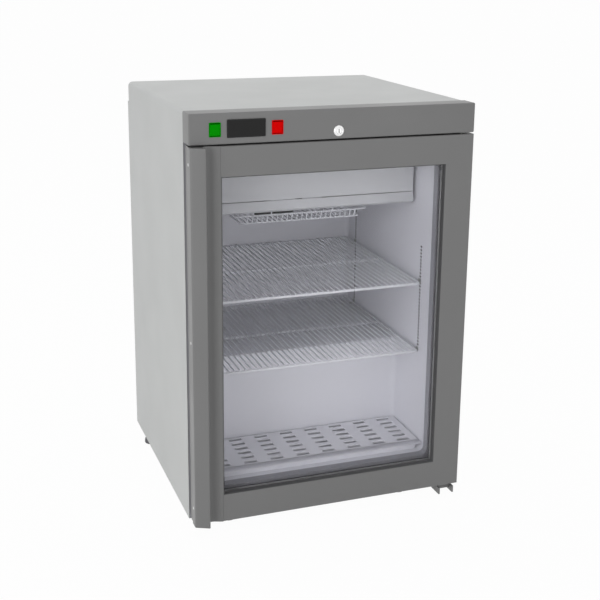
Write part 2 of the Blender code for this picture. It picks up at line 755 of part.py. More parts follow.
suction_route = [
    (SUCTION_OFFSET, EVAPORATOR_BACK_Y + SEAT_GAP, suction_top_z),
    (SUCTION_OFFSET, TUBE_BACK_Y, suction_top_z),
    (SUCTION_OFFSET, TUBE_BACK_Y, BAY_TOP_Z - TUBE_BEND_RADIUS),
    (SUCTION_OFFSET, COMPRESSOR_Y, suction_low_z),
    (COMPRESSOR_X - COMPRESSOR_HALF_WIDTH - COMPRESSOR_RIM - SEAT_GAP, COMPRESSOR_Y, suction_low_z),
]
drain_route = [
    (COMPRESSOR_X, COVER_BACK_Y - SEAT_GAP, DRAIN_TOP_Z),
    (COMPRESSOR_X, TUBE_BACK_Y, DRAIN_TOP_Z),
    (COMPRESSOR_X, TUBE_BACK_Y, BAY_TOP_Z - TUBE_BEND_RADIUS),
]
suction_path = bent(suction_route, TUBE_BEND_RADIUS, TUBE_BEND_STEPS)
drain_path = bent(drain_route, DRAIN_RADIUS * 2, TUBE_BEND_STEPS)
suction_line = body("suction_line", [tube(suction_path, COPPER_RADIUS, TUBE_SIDES)], COPPER, SMOOTH_DEGREES)
drain_tube = body("drain_tube", [tube(drain_path, DRAIN_RADIUS, TUBE_SIDES)], WHITE_PLASTIC, SMOOTH_DEGREES)
channel_room = SEAT_GAP * 4
channels = tool("channel_cutter", [
    tube(suction_path, COPPER_RADIUS + channel_room, TUBE_SIDES),
    tube(drain_path, DRAIN_RADIUS + channel_room, TUBE_SIDES),
])
combine(inner_liner, channels, "DIFFERENCE")

# Insulating foam: it fills the space between the wrap, the liner, the base pan and the back panel
foam_outline = wrap_outline(SHEET + SEAT_GAP, BODY_BOTTOM + SHEET + SEAT_GAP, BEND_STEPS)
FOAM_BACK_Y = PANEL_FRONT_Y - SEAT_GAP
foam_shape = prism(foam_outline, "y", CABINET_Y + SHEET + SEAT_GAP, FOAM_BACK_Y)
insulation_foam = body("insulation_foam", [foam_shape], FOAM)
combine(insulation_foam, core_tool("foam_cavity_cutter", LINER_WALL + SEAT_GAP), "DIFFERENCE")
bay_low = (-HALF_WIDTH, BAY_Y - SHEET - SEAT_GAP, BODY_BOTTOM - CUT_OVERRUN)
bay_high = (HALF_WIDTH, SIDE_BACK_Y, BAY_TOP_Z + SHEET + SEAT_GAP)
combine(insulation_foam, tool("foam_bay_cutter", [block(bay_low, bay_high)]), "DIFFERENCE")
combine(insulation_foam, channels, "DIFFERENCE")

# Base pan: one folded sheet under the floor, up the front of the compressor bay and over its top
pan_front_y = CABINET_Y + SHEET + SEAT_GAP
pan_run = [(pan_front_y, BODY_BOTTOM), (BAY_Y, BODY_BOTTOM), (BAY_Y, BAY_TOP_Z), (FOAM_BACK_Y, BAY_TOP_Z)]
base_pan = body("base_pan", [prism(folded(pan_run, SHEET), "x", -BEHIND_WRAP, BEHIND_WRAP)], GALVANISED)
combine(base_pan, channels, "DIFFERENCE")

# Feet: moulded domes on threaded studs, the front pair in the base pan and the rear pair in the bay floor
FOOT_PLACES = {
    "foot_front_left": (FRONT_LEFT_FOOT_INSET - HALF_WIDTH, DOOR_FACE_Y + FRONT_FOOT_SETBACK),
    "foot_front_right": (HALF_WIDTH - FRONT_RIGHT_FOOT_INSET, DOOR_FACE_Y + FRONT_FOOT_SETBACK),
    "foot_rear_left": (REAR_FOOT_INSET - HALF_WIDTH, DOOR_FACE_Y + REAR_FOOT_SETBACK),
    "foot_rear_right": (HALF_WIDTH - REAR_FOOT_INSET, DOOR_FACE_Y + REAR_FOOT_SETBACK),
}
FOOT_TOP = FOOT_HEIGHT - SEAT_GAP
dome_top = FOOT_TOP - FOOT_PAD / 2
foot_dome = curve(
    (FOOT_RADIUS, FOOT_PAD), (FOOT_RADIUS, (FOOT_PAD + dome_top) / 2),
    (FOOT_NECK_RADIUS + FOOT_STUD_RADIUS, dome_top), (FOOT_NECK_RADIUS, dome_top), 4,
)
foot_profile = [
    (0, 0), (FOOT_RADIUS - FOOT_PAD / 4, 0), (FOOT_RADIUS, FOOT_PAD / 4), (FOOT_RADIUS, FOOT_PAD),
] + foot_dome
foot_profile += [
    (FOOT_NECK_RADIUS, FOOT_TOP), (FOOT_STUD_RADIUS, FOOT_TOP),
    (FOOT_STUD_RADIUS, FOOT_TOP + FOOT_STUD_LENGTH), (0, FOOT_TOP + FOOT_STUD_LENGTH),
]
stud_holes = []
for foot_name, (foot_x, foot_y) in FOOT_PLACES.items():
    foot = body(
        foot_name, [turned(foot_profile, (foot_x, foot_y), "z", FOOT_SIDES)], FOOT_PLASTIC, SMOOTH_DEGREES,
    )
    set_origin(foot, (foot_x, foot_y, 0))
    hole = circle((foot_x, foot_y), FOOT_STUD_RADIUS + SEAT_GAP * 2, TUBE_SIDES)
    stud_holes.append(
        prism(hole, "z", BODY_BOTTOM - CUT_OVERRUN, FOOT_TOP + FOOT_STUD_LENGTH + CUT_OVERRUN)
    )
stud_cutter = tool("foot_stud_cutter", stud_holes)
combine(base_pan, stud_cutter, "DIFFERENCE")
combine(insulation_foam, stud_cutter, "DIFFERENCE")

# Bay floor: a stiff channel across the back that carries the compressor, the condenser and the rear feet
floor_front = BAY_Y + SEAT_GAP
floor_back = PANEL_FRONT_Y - SEAT_GAP
floor_run = [
    (floor_front, BODY_BOTTOM + BAY_FLOOR_UPSTAND), (floor_front, BODY_BOTTOM), (floor_back, BODY_BOTTOM),
    (floor_back, BODY_BOTTOM + BAY_FLOOR_UPSTAND),
]
bay_floor = body(
    "bay_floor", [prism(folded(floor_run, BAY_FLOOR_SHEET), "x", -BEHIND_WRAP, BEHIND_WRAP)], GALVANISED,
)
combine(bay_floor, stud_cutter, "DIFFERENCE")

# Back panel and, below it, the louvred cover of the compressor bay
COVER_TOP_Z = BAY_TOP_Z - BACK_PANEL_OVERLAP
panel_outline = wrap_outline(SHEET + SEAT_GAP, COVER_TOP_Z + SEAT_GAP, BEND_STEPS)
back_panel = body("back_panel", [prism(panel_outline, "y", PANEL_FRONT_Y, TOP_BACK_Y)], GALVANISED)
rear_low = (-BEHIND_WRAP, PANEL_FRONT_Y, BODY_BOTTOM)
rear_high = (BEHIND_WRAP, TOP_BACK_Y, COVER_TOP_Z)
rear_cover = body("rear_cover", [block(rear_low, rear_high)], GALVANISED)
LOUVRE_MIDDLE_Z = (BODY_BOTTOM + COVER_TOP_Z) / 2
LOUVRE_LENGTH = HALF_WIDTH - LOUVRE_SIDE_GAP - LOUVRE_MIDDLE_GAP / 2
louvres = []
for side in (-1, 1):
    for row in range(LOUVRE_ROWS):
        louvre_x = side * (LOUVRE_MIDDLE_GAP + LOUVRE_LENGTH) / 2
        louvre_z = LOUVRE_MIDDLE_Z + (row - (LOUVRE_ROWS - 1) / 2) * LOUVRE_PITCH
        low = (louvre_x - LOUVRE_LENGTH / 2, PANEL_FRONT_Y - CUT_OVERRUN, louvre_z - LOUVRE_HEIGHT / 2)
        high = (louvre_x + LOUVRE_LENGTH / 2, TOP_BACK_Y + CUT_OVERRUN, louvre_z + LOUVRE_HEIGHT / 2)
        louvres.append(block(low, high))
combine(rear_cover, tool("louvre_cutter", louvres), "DIFFERENCE")

# Cord gland: a moulded grommet in the rear cover
GLAND_X = HALF_WIDTH - GLAND_INSET
GLAND_Z = BODY_BOTTOM + GLAND_RISE
gland_neck = GLAND_RADIUS - SHEET
gland_profile = [
    (GLAND_BORE_RADIUS, PANEL_FRONT_Y - GLAND_LENGTH / 2),
    (GLAND_RADIUS, PANEL_FRONT_Y - GLAND_LENGTH / 2),
    (GLAND_RADIUS, PANEL_FRONT_Y - SEAT_GAP),
    (gland_neck, PANEL_FRONT_Y - SEAT_GAP),
    (gland_neck, TOP_BACK_Y + SEAT_GAP),
    (GLAND_RADIUS, TOP_BACK_Y + SEAT_GAP),
    (GLAND_RADIUS - SHEET, SIDE_BACK_Y - SHEET * 2),
    (GLAND_BORE_RADIUS, SIDE_BACK_Y - SHEET * 2),
]
cord_gland = body(
    "cord_gland", [turned(gland_profile, (GLAND_X, GLAND_Z), "y", FOOT_SIDES)], BLACK_PLASTIC,
    SMOOTH_DEGREES,
)
gland_hole = prism(
    circle((GLAND_X, GLAND_Z), gland_neck + SEAT_GAP, FOOT_SIDES), "y", PANEL_FRONT_Y - CUT_OVERRUN,
    TOP_BACK_Y + CUT_OVERRUN,
)
combine(rear_cover, tool("gland_hole_cutter", [gland_hole]), "DIFFERENCE")

# Door frame: a mitred ring with a chamfered front, a rebate for the glass and a left stile stepped for
# the handle
DOOR_LEFT_X = -HALF_WIDTH + HANDLE_SIDE_WALL + SEAT_GAP
door_outer = (DOOR_LEFT_X, HALF_WIDTH, DOOR_BOTTOM, DOOR_TOP)
door_opening = (
    STILE_LEFT - HALF_WIDTH, HALF_WIDTH - STILE_RIGHT, DOOR_BOTTOM + RAIL_BOTTOM, DOOR_TOP - RAIL_TOP,
)
GLASS_SEAT_Y = DOOR_FACE_Y + GLASS_SEAT_SETBACK
frame_loops = [
    grown(door_outer, 0, DOOR_FACE_Y + FRAME_EDGE_CHAMFER),
    grown(door_outer, FRAME_EDGE_CHAMFER, DOOR_FACE_Y),
    grown(door_opening, -OPENING_CHAMFER, DOOR_FACE_Y),
    grown(door_opening, 0, DOOR_FACE_Y + OPENING_CHAMFER),
    grown(door_opening, 0, GLASS_SEAT_Y),
    grown(door_opening, -GLASS_REBATE, GLASS_SEAT_Y),
    grown(door_opening, -GLASS_REBATE, DOOR_BACK_Y),
    grown(door_outer, 0, DOOR_BACK_Y),
]
door_frame = body("door_frame", [rectangle_ring(frame_loops)], FASCIA_PAINT)
HANDLE_RIGHT_X = -HALF_WIDTH + HANDLE_WIDTH
handle_seat_low = (-HALF_WIDTH - CUT_OVERRUN, DOOR_FACE_Y - CUT_OVERRUN, DOOR_BOTTOM - CUT_OVERRUN)
handle_seat_high = (
    HANDLE_RIGHT_X + SEAT_GAP, DOOR_FACE_Y + HANDLE_BASE_SETBACK + SEAT_GAP, DOOR_TOP + CUT_OVERRUN,
)
combine(door_frame, tool("handle_seat_cutter", [block(handle_seat_low, handle_seat_high)]), "DIFFERENCE")

# Handle: an extruded section over the whole left stile, with a rounded ridge and a finger valley behind it
def handle_point(offset, setback):
    """A place in the handle's section, from the door's left edge and front face."""
    return (offset - HALF_WIDTH, DOOR_FACE_Y + setback)


corner_centre = handle_point(HANDLE_CORNER_RADIUS, HANDLE_CORNER_RADIUS - HANDLE_CORNER_REACH)
ridge_centre = handle_point(HANDLE_RIDGE_OFFSET, HANDLE_RIDGE_RADIUS - HANDLE_REACH)
throat = handle_point(HANDLE_THROAT_OFFSET, (HANDLE_VALLEY_SETBACK - HANDLE_REACH) / 2)
valley = handle_point(HANDLE_VALLEY_OFFSET, HANDLE_VALLEY_SETBACK)
valley_pull = (HANDLE_VALLEY_OFFSET - HANDLE_THROAT_OFFSET) / 2
run_out = handle_point(HANDLE_WIDTH, 0)
run_out_pull = (HANDLE_WIDTH - HANDLE_VALLEY_OFFSET) / 3
handle_outline = [handle_point(0, HANDLE_SIDE_SETBACK)]
handle_outline += arc(corner_centre, HANDLE_CORNER_RADIUS, 180.0, 255.0, 4)
handle_outline += arc(ridge_centre, HANDLE_RIDGE_RADIUS, 255.0, 405.0, 6)
handle_outline += curve(
    handle_outline[-1],
    (handle_outline[-1][0] - HANDLE_RIDGE_RADIUS, ridge_centre[1] + HANDLE_RIDGE_RADIUS),
    (throat[0], throat[1] - HANDLE_RIDGE_RADIUS), throat, 3,
)
handle_outline += curve(throat, (throat[0], valley[1]), (valley[0] - valley_pull, valley[1]), valley, 5)
handle_outline += curve(
    valley, (valley[0] + run_out_pull, valley[1]), (run_out[0] - run_out_pull, run_out[1]), run_out, 5,
)
handle_outline += [
    handle_point(HANDLE_WIDTH, HANDLE_BASE_SETBACK), handle_point(HANDLE_SIDE_WALL, HANDLE_BASE_SETBACK),
    handle_point(HANDLE_SIDE_WALL, HANDLE_SIDE_SETBACK),
]
handle_profile = body(
    "handle_profile", [prism(handle_outline, "z", DOOR_BOTTOM, DOOR_TOP)], HANDLE_PAINT, 30.0,
)

# Double glazing: two panes on an aluminium spacer, held in the rebate by an inner frame
glass_edge = SEAT_GAP - GLASS_REBATE
outer_pane_y = GLASS_SEAT_Y + SEAT_GAP
spacer_y = outer_pane_y + PANE + SEAT_GAP
inner_pane_y = spacer_y + GLASS_AIR_SPACE + SEAT_GAP
inner_frame_y = inner_pane_y + PANE + SEAT_GAP
gx0, gx1, gz0, gz1, _ = grown(door_opening, glass_edge, 0)
glass_outer = body("glass_outer", [block((gx0, outer_pane_y, gz0), (gx1, outer_pane_y + PANE, gz1))], GLASS)
glass_inner = body("glass_inner", [block((gx0, inner_pane_y, gz0), (gx1, inner_pane_y + PANE, gz1))], GLASS)
spacer_outer = glass_edge + SPACER_INSET
spacer_inner = spacer_outer + SPACER_WIDTH
spacer_loops = [
    grown(door_opening, spacer_outer, spacer_y),
    grown(door_opening, spacer_inner, spacer_y),
    grown(door_opening, spacer_inner, spacer_y + GLASS_AIR_SPACE),
    grown(door_opening, spacer_outer, spacer_y + GLASS_AIR_SPACE),
]
glass_spacer = body("glass_spacer", [rectangle_ring(spacer_loops)], ALUMINIUM)
trim_bevel = INNER_FRAME_INSET
trim_loops = [
    grown(door_opening, glass_edge, inner_frame_y),
    grown(door_opening, -INNER_FRAME_INSET, inner_frame_y),
    grown(door_opening, -INNER_FRAME_INSET, DOOR_BACK_Y - trim_bevel),
    grown(door_opening, -INNER_FRAME_INSET - trim_bevel, DOOR_BACK_Y),
    grown(door_opening, glass_edge, DOOR_BACK_Y),
]
inner_frame = body("inner_frame", [rectangle_ring(trim_loops)], INNER_TRIM)

# Gasket: a moulded bellows on the back of the door, with its magnet head just clear of the mouth frame
door_edge = (-HALF_WIDTH, HALF_WIDTH, DOOR_BOTTOM, DOOR_TOP)
gasket_middle = GASKET_OUTER_INSET + GASKET_WIDTH / 2
gasket_base_y = DOOR_BACK_Y + SEAT_GAP
gasket_face_y = CABINET_Y - SEAT_GAP
neck_start = gasket_base_y + GASKET_BASE
neck_end = neck_start + GASKET_NECK
gasket_section = [
    (GASKET_WIDTH / 2, gasket_base_y),
    (GASKET_WIDTH / 2, neck_start),
    (GASKET_NECK_WIDTH / 2, (neck_start + neck_end) / 2),
    (GASKET_HEAD_WIDTH / 2, neck_end),
    (GASKET_HEAD_WIDTH / 2, gasket_face_y - GASKET_HEAD_LIP),
    (GASKET_HEAD_WIDTH / 2 - GASKET_HEAD_LIP, gasket_face_y),
]
gasket_loops = [grown(door_edge, gasket_middle - half, y) for half, y in gasket_section]
gasket_loops += [grown(door_edge, gasket_middle + half, y) for half, y in gasket_section[::-1]]
door_gasket = body("door_gasket", [rectangle_ring(gasket_loops)], DARK_RUBBER)

# Hinge bushes in the door's right stile, and the pins that turn in them
BUSH_RADIUS = PIN_RADIUS + SEAT_GAP + BUSH_WALL


def bush(name, low, high):
    """A plain sleeve between low and high on the hinge axis."""
    bore = PIN_RADIUS + SEAT_GAP
    profile = [(bore, low), (BUSH_RADIUS, low), (BUSH_RADIUS, high), (bore, high)]
    return body(name, [turned(profile, (HINGE_X, HINGE_Y), "z", PIN_SIDES)], WHITE_PLASTIC, SMOOTH_DEGREES)


lower_bush = bush("lower_bush", DOOR_BOTTOM, DOOR_BOTTOM + BUSH_LENGTH)
upper_bush = bush("upper_bush", DOOR_TOP - BUSH_LENGTH, DOOR_TOP)
pocket = circle((HINGE_X, HINGE_Y), BUSH_RADIUS + SEAT_GAP, PIN_SIDES)
pocket_depth = BUSH_LENGTH + SEAT_GAP
pockets = [
    prism(pocket, "z", DOOR_BOTTOM - CUT_OVERRUN, DOOR_BOTTOM + pocket_depth),
    prism(pocket, "z", DOOR_TOP - pocket_depth, DOOR_TOP + CUT_OVERRUN),
]
combine(door_frame, tool("bush_pocket_cutter", pockets), "DIFFERENCE")

# Lower hinge bracket: a pressed channel under the corner, its two flanges turned down and open to the front
BRACKET_TOP = BODY_BOTTOM - SEAT_GAP
BRACKET_PLATE_Z = BRACKET_TOP - BRACKET_SHEET
bracket_left = HALF_WIDTH - LOWER_BRACKET_LEFT_INSET
bracket_right = HALF_WIDTH - LOWER_BRACKET_RIGHT_INSET
bracket_web_y = DOOR_FACE_Y + LOWER_WEB_SETBACK
bracket_back_y = DOOR_FACE_Y + LOWER_BRACKET_LENGTH
flange_low = BRACKET_TOP - LOWER_FLANGE_DROP
flange_back_y = DOOR_FACE_Y + LOWER_FLANGE_LENGTH
flange_side = [
    (DOOR_FACE_Y, flange_low), (flange_back_y, flange_low),
    (flange_back_y + LOWER_FLANGE_DROP, BRACKET_PLATE_Z),
    (flange_back_y + LOWER_FLANGE_DROP, BRACKET_TOP - BRACKET_SHEET / 4),
    (DOOR_FACE_Y, BRACKET_TOP - BRACKET_SHEET / 4),
]
bracket_plate = block(
    (bracket_left, bracket_web_y, BRACKET_PLATE_Z), (bracket_right, bracket_back_y, BRACKET_TOP),
)
lower_hinge_bracket = body("lower_hinge_bracket", [bracket_plate], ZINC_STEEL)
flanges = tool("bracket_flanges", [
    prism(flange_side, "x", bracket_left - BRACKET_SHEET / 4, bracket_left + BRACKET_SHEET),
    prism(flange_side, "x", bracket_right - BRACKET_SHEET, bracket_right + BRACKET_SHEET / 4),
])
combine(lower_hinge_bracket, flanges, "UNION")
web_low = (
    bracket_left + BRACKET_SHEET / 2, bracket_web_y + BRACKET_SHEET / 4, BRACKET_TOP - LOWER_WEB_DROP,
)
web_high = (
    bracket_right - BRACKET_SHEET / 2, bracket_web_y + BRACKET_SHEET, BRACKET_TOP - BRACKET_SHEET / 2,
)
combine(lower_hinge_bracket, tool("bracket_web", [block(web_low, web_high)]), "UNION")
pin_hole = circle((HINGE_X, HINGE_Y), PIN_RADIUS + SEAT_GAP, PIN_SIDES)
lower_pin_hole = prism(pin_hole, "z", BRACKET_PLATE_Z - CUT_OVERRUN, BRACKET_TOP + CUT_OVERRUN)
combine(lower_hinge_bracket, tool("lower_pin_cutter", [lower_pin_hole]), "DIFFERENCE")

# Lower pin: its collar stands on the bracket and carries the door
collar_low = BRACKET_TOP + SEAT_GAP
collar_high = DOOR_BOTTOM - SEAT_GAP
lower_pin_profile = [
    (0, BRACKET_PLATE_Z),
    (PIN_RADIUS, BRACKET_PLATE_Z),
    (PIN_RADIUS, collar_low),
    (PIN_HEAD_RADIUS, collar_low),
    (PIN_HEAD_RADIUS, collar_high),
    (PIN_RADIUS, collar_high),
    (PIN_RADIUS, DOOR_BOTTOM + BUSH_LENGTH - SEAT_GAP),
    (0, DOOR_BOTTOM + BUSH_LENGTH - SEAT_GAP),
]
lower_hinge_pin = body(
    "lower_hinge_pin", [turned(lower_pin_profile, (HINGE_X, HINGE_Y), "z", PIN_SIDES)], ZINC_STEEL,
    SMOOTH_DEGREES,
)

# Fascia: a folded sheet tray across the top front, open at the back, with its switch and lock openings
FASCIA_BACK_Y = CABINET_Y - SEAT_GAP
fascia_low_lip_y = DOOR_FACE_Y + FASCIA_BOTTOM_LIP
fascia_corner_left = (FASCIA_BEND_RADIUS - HALF_WIDTH, DOOR_FACE_Y + FASCIA_BEND_RADIUS)
fascia_corner_right = (HALF_WIDTH - FASCIA_BEND_RADIUS, DOOR_FACE_Y + FASCIA_BEND_RADIUS)
fascia_plan = [(-HALF_WIDTH, FASCIA_BACK_Y)] + arc(fascia_corner_left, FASCIA_BEND_RADIUS, 180.0, 270.0, 3)
fascia_plan += arc(fascia_corner_right, FASCIA_BEND_RADIUS, 270.0, 360.0, 3) + [(HALF_WIDTH, FASCIA_BACK_Y)]
control_fascia = body(
    "control_fascia", [prism(fascia_plan, "z", FASCIA_BOTTOM, OVERALL_HEIGHT)], FASCIA_PAINT,
    SMOOTH_DEGREES,
)
fascia_room_low = (SHEET - HALF_WIDTH, DOOR_FACE_Y + SHEET, FASCIA_BOTTOM + SHEET)
fascia_room_high = (HALF_WIDTH - SHEET, CABINET_Y + CUT_OVERRUN, OVERALL_HEIGHT - SHEET)
combine(
    control_fascia, tool("fascia_room_cutter", [block(fascia_room_low, fascia_room_high)]), "DIFFERENCE",
)
lip_low = (SHEET - HALF_WIDTH, fascia_low_lip_y, FASCIA_BOTTOM - CUT_OVERRUN)
lip_high = (HALF_WIDTH - SHEET, CABINET_Y + CUT_OVERRUN, FASCIA_BOTTOM + SHEET * 2)
combine(control_fascia, tool("fascia_lip_cutter", [block(lip_low, lip_high)]), "DIFFERENCE")

# Rocker switches: a body pushed through the fascia, and a rocker whose round back turns in it
ROCKER_RADIUS = math.hypot(ROCKER_FACE_HEIGHT / 2, ROCKER_REACH + ROCKER_PIVOT_SETBACK)
ROCKER_Y = DOOR_FACE_Y + ROCKER_PIVOT_SETBACK
ROCKER_Z = OVERALL_HEIGHT - ROCKER_DROP
rocker_face_degrees = math.degrees(math.atan2(ROCKER_REACH + ROCKER_PIVOT_SETBACK, ROCKER_FACE_HEIGHT / 2))
rocker_back_degrees = math.degrees(math.asin(ROCKER_DEPTH / ROCKER_RADIUS))
tilt = math.radians(ROCKER_TILT_DEGREES)
rocker_turn = np.array([[math.cos(tilt), math.sin(tilt)], [-math.sin(tilt), math.cos(tilt)]])
upright = arc((0, 0), ROCKER_RADIUS, 90.0 - rocker_back_degrees, 90.0 + rocker_face_degrees, 4)
upright += [(-ROCKER_PIVOT_SETBACK - ROCKER_REACH + ROCKER_VALLEY, 0)]
upright += arc((0, 0), ROCKER_RADIUS, 270.0 - rocker_face_degrees, 270.0 + rocker_back_degrees, 4)
rocker_outline = [(ROCKER_Y + p[0], ROCKER_Z + p[1]) for p in np.array(upright) @ rocker_turn]
SWITCH_HALF_WIDTH = ROCKER_WIDTH / 2 + SWITCH_CLEARANCE + SWITCH_WALL
SWITCH_HALF_HEIGHT = ROCKER_RADIUS + SWITCH_CLEARANCE + SWITCH_WALL
SWITCH_SIDES = {"green": (GREEN_SWITCH_INSET, GREEN_PLASTIC), "red": (RED_SWITCH_INSET, RED_PLASTIC)}
fascia_openings = []
for colour, (inset, plastic) in SWITCH_SIDES.items():
    switch_x = inset - HALF_WIDTH
    rocker = body(
        colour + "_rocker",
        [prism(rocker_outline, "x", switch_x - ROCKER_WIDTH / 2, switch_x + ROCKER_WIDTH / 2)], plastic,
        SMOOTH_DEGREES,
    )
    set_origin(rocker, (switch_x, ROCKER_Y, ROCKER_Z))
    flange_x = SWITCH_HALF_WIDTH + SWITCH_FLANGE_RIM
    flange_z = SWITCH_HALF_HEIGHT + SWITCH_FLANGE_RIM
    flange_back = DOOR_FACE_Y - SEAT_GAP
    switch_flange = block(
        (switch_x - flange_x, flange_back - SWITCH_FLANGE, ROCKER_Z - flange_z),
        (switch_x + flange_x, flange_back, ROCKER_Z + flange_z),
    )
    switch_body = body(colour + "_switch_body", [switch_flange], BLACK_PLASTIC)
    case_low = (
        switch_x - SWITCH_HALF_WIDTH, flange_back - SWITCH_FLANGE / 2, ROCKER_Z - SWITCH_HALF_HEIGHT,
    )
    case_high = (switch_x + SWITCH_HALF_WIDTH, DOOR_FACE_Y + SWITCH_DEPTH, ROCKER_Z + SWITCH_HALF_HEIGHT)
    combine(switch_body, tool(colour + "_switch_case", [block(case_low, case_high)]), "UNION")
    room_x = SWITCH_HALF_WIDTH - SWITCH_WALL
    room_z = SWITCH_HALF_HEIGHT - SWITCH_WALL
    room_low = (switch_x - room_x, flange_back - SWITCH_FLANGE - CUT_OVERRUN, ROCKER_Z - room_z)
    room_high = (switch_x + room_x, DOOR_FACE_Y + SWITCH_CAVITY_DEPTH, ROCKER_Z + room_z)
    combine(switch_body, tool(colour + "_switch_room", [block(room_low, room_high)]), "DIFFERENCE")
    hole_low = (
        switch_x - SWITCH_HALF_WIDTH - SEAT_GAP, DOOR_FACE_Y - CUT_OVERRUN,
        ROCKER_Z - SWITCH_HALF_HEIGHT - SEAT_GAP,
    )
    hole_high = (
        switch_x + SWITCH_HALF_WIDTH + SEAT_GAP, DOOR_FACE_Y + SHEET * 2,
        ROCKER_Z + SWITCH_HALF_HEIGHT + SEAT_GAP,
    )
    fascia_openings.append(block(hole_low, hole_high))

# Temperature controller: a dark window on the fascia, and the case behind it
DISPLAY_X = DISPLAY_INSET - HALF_WIDTH
DISPLAY_Z = OVERALL_HEIGHT - DISPLAY_DROP
window_x = DISPLAY_WIDTH / 2
window_z = DISPLAY_HEIGHT / 2
window_outline = []
for sx, sz, start in ((1, 1, 0.0), (-1, 1, 90.0), (-1, -1, 180.0), (1, -1, 270.0)):
    window_corner = (
        DISPLAY_X + sx * (window_x - DISPLAY_CORNER), DISPLAY_Z + sz * (window_z - DISPLAY_CORNER),
    )
    window_outline += arc(window_corner, DISPLAY_CORNER, start, start + 90.0, 2)
window_back = DOOR_FACE_Y - SEAT_GAP
display_window = body(
    "display_window", [prism(window_outline, "y", window_back - DISPLAY_THICKNESS, window_back)],
    DISPLAY_PLASTIC,
)
case_low = (DISPLAY_X - CONTROLLER_WIDTH / 2, DOOR_FACE_Y, DISPLAY_Z - CONTROLLER_HEIGHT / 2)
case_high = (
    DISPLAY_X + CONTROLLER_WIDTH / 2, DOOR_FACE_Y + CONTROLLER_DEPTH, DISPLAY_Z + CONTROLLER_HEIGHT / 2,
)
controller_body = body("controller_body", [block(case_low, case_high)], BLACK_PLASTIC)
hole_low = (case_low[0] - SEAT_GAP, DOOR_FACE_Y - CUT_OVERRUN, case_low[2] - SEAT_GAP)
hole_high = (case_high[0] + SEAT_GAP, DOOR_FACE_Y + SHEET * 2, case_high[2] + SEAT_GAP)
fascia_openings.append(block(hole_low, hole_high))

# Lock: a flanged barrel in the fascia, and a plug that swings its cam down into the top of the door
LOCK_X = LOCK_OFFSET
LOCK_Z = OVERALL_HEIGHT - LOCK_DROP
barrel_bore = LOCK_PLUG_RADIUS + SEAT_GAP
barrel_back = DOOR_FACE_Y + LOCK_BODY_LENGTH
barrel_front = DOOR_FACE_Y - SEAT_GAP - LOCK_HEAD
barrel_profile = [
    (barrel_bore, barrel_front),
    (LOCK_HEAD_RADIUS - LOCK_HEAD / 2, barrel_front),
    (LOCK_HEAD_RADIUS, barrel_front + LOCK_HEAD / 2),
    (LOCK_HEAD_RADIUS, DOOR_FACE_Y - SEAT_GAP),
    (LOCK_BODY_RADIUS, DOOR_FACE_Y - SEAT_GAP),
    (LOCK_BODY_RADIUS, barrel_back),
    (barrel_bore, barrel_back),
]
lock_barrel = body(
    "lock_barrel", [turned(barrel_profile, (LOCK_X, LOCK_Z), "y", LOCK_SIDES)], CHROME, SMOOTH_DEGREES,
)
plug_front = barrel_front + LOCK_PLUG_RECESS
cam_front = barrel_back + SEAT_GAP
plug_back = cam_front - SEAT_GAP
plug_profile = [
    (0, plug_front), (LOCK_PLUG_RADIUS, plug_front), (LOCK_PLUG_RADIUS, plug_back), (0, plug_back),
]
lock_plug = body(
    "lock_plug", [turned(plug_profile, (LOCK_X, LOCK_Z), "y", LOCK_SIDES)], CHROME, SMOOTH_DEGREES,
)
keyway_low = (LOCK_X - KEYWAY_WIDTH / 2, plug_front - CUT_OVERRUN, LOCK_Z - KEYWAY_HEIGHT / 2)
keyway_high = (LOCK_X + KEYWAY_WIDTH / 2, plug_front + KEYWAY_DEPTH, LOCK_Z + KEYWAY_HEIGHT / 2)
combine(lock_plug, tool("keyway_cutter", [block(keyway_low, keyway_high)]), "DIFFERENCE")
cam_outline = arc((LOCK_X, LOCK_Z), LOCK_PLUG_RADIUS + SHEET, 60.0, 300.0, 8)
cam_outline += [
    (LOCK_X + CAM_LENGTH, LOCK_Z - CAM_HALF_WIDTH), (LOCK_X + CAM_LENGTH, LOCK_Z + CAM_HALF_WIDTH),
]
lock_cam = body("lock_cam", [prism(cam_outline, "y", cam_front, cam_front + CAM_THICKNESS)], ZINC_STEEL)
hang([lock_plug, lock_cam], "lock_axis", (LOCK_X, DOOR_FACE_Y, LOCK_Z))
lock_hole = prism(
    circle((LOCK_X, LOCK_Z), LOCK_BODY_RADIUS + SEAT_GAP, LOCK_SIDES), "y", DOOR_FACE_Y - CUT_OVERRUN,
    DOOR_FACE_Y + SHEET * 2,
)
fascia_openings.append(lock_hole)
cam_sweep = math.hypot(CAM_LENGTH, CAM_HALF_WIDTH)
slot_left = LOCK_X - CAM_HALF_WIDTH - CAM_SLOT_MARGIN
lip_reach = math.sqrt(cam_sweep ** 2 - (LOCK_Z - FASCIA_BOTTOM - SHEET) ** 2)
keeper_reach = math.sqrt(cam_sweep ** 2 - (LOCK_Z - DOOR_TOP) ** 2)
slot_front = cam_front - CAM_SLOT_MARGIN
slot_back = cam_front + CAM_THICKNESS + CAM_SLOT_MARGIN
fascia_slot = block(
    (slot_left, slot_front, FASCIA_BOTTOM - CUT_OVERRUN),
    (LOCK_X + lip_reach + CAM_SLOT_MARGIN, slot_back, FASCIA_BOTTOM + SHEET * 2),
)
fascia_openings.append(fascia_slot)
keeper_slot = block(
    (slot_left, slot_front, DOOR_TOP - KEEPER_SLOT_DEPTH),
    (LOCK_X + keeper_reach + CAM_SLOT_MARGIN, slot_back, DOOR_TOP + CUT_OVERRUN),
)
combine(door_frame, tool("keeper_slot_cutter", [keeper_slot]), "DIFFERENCE")

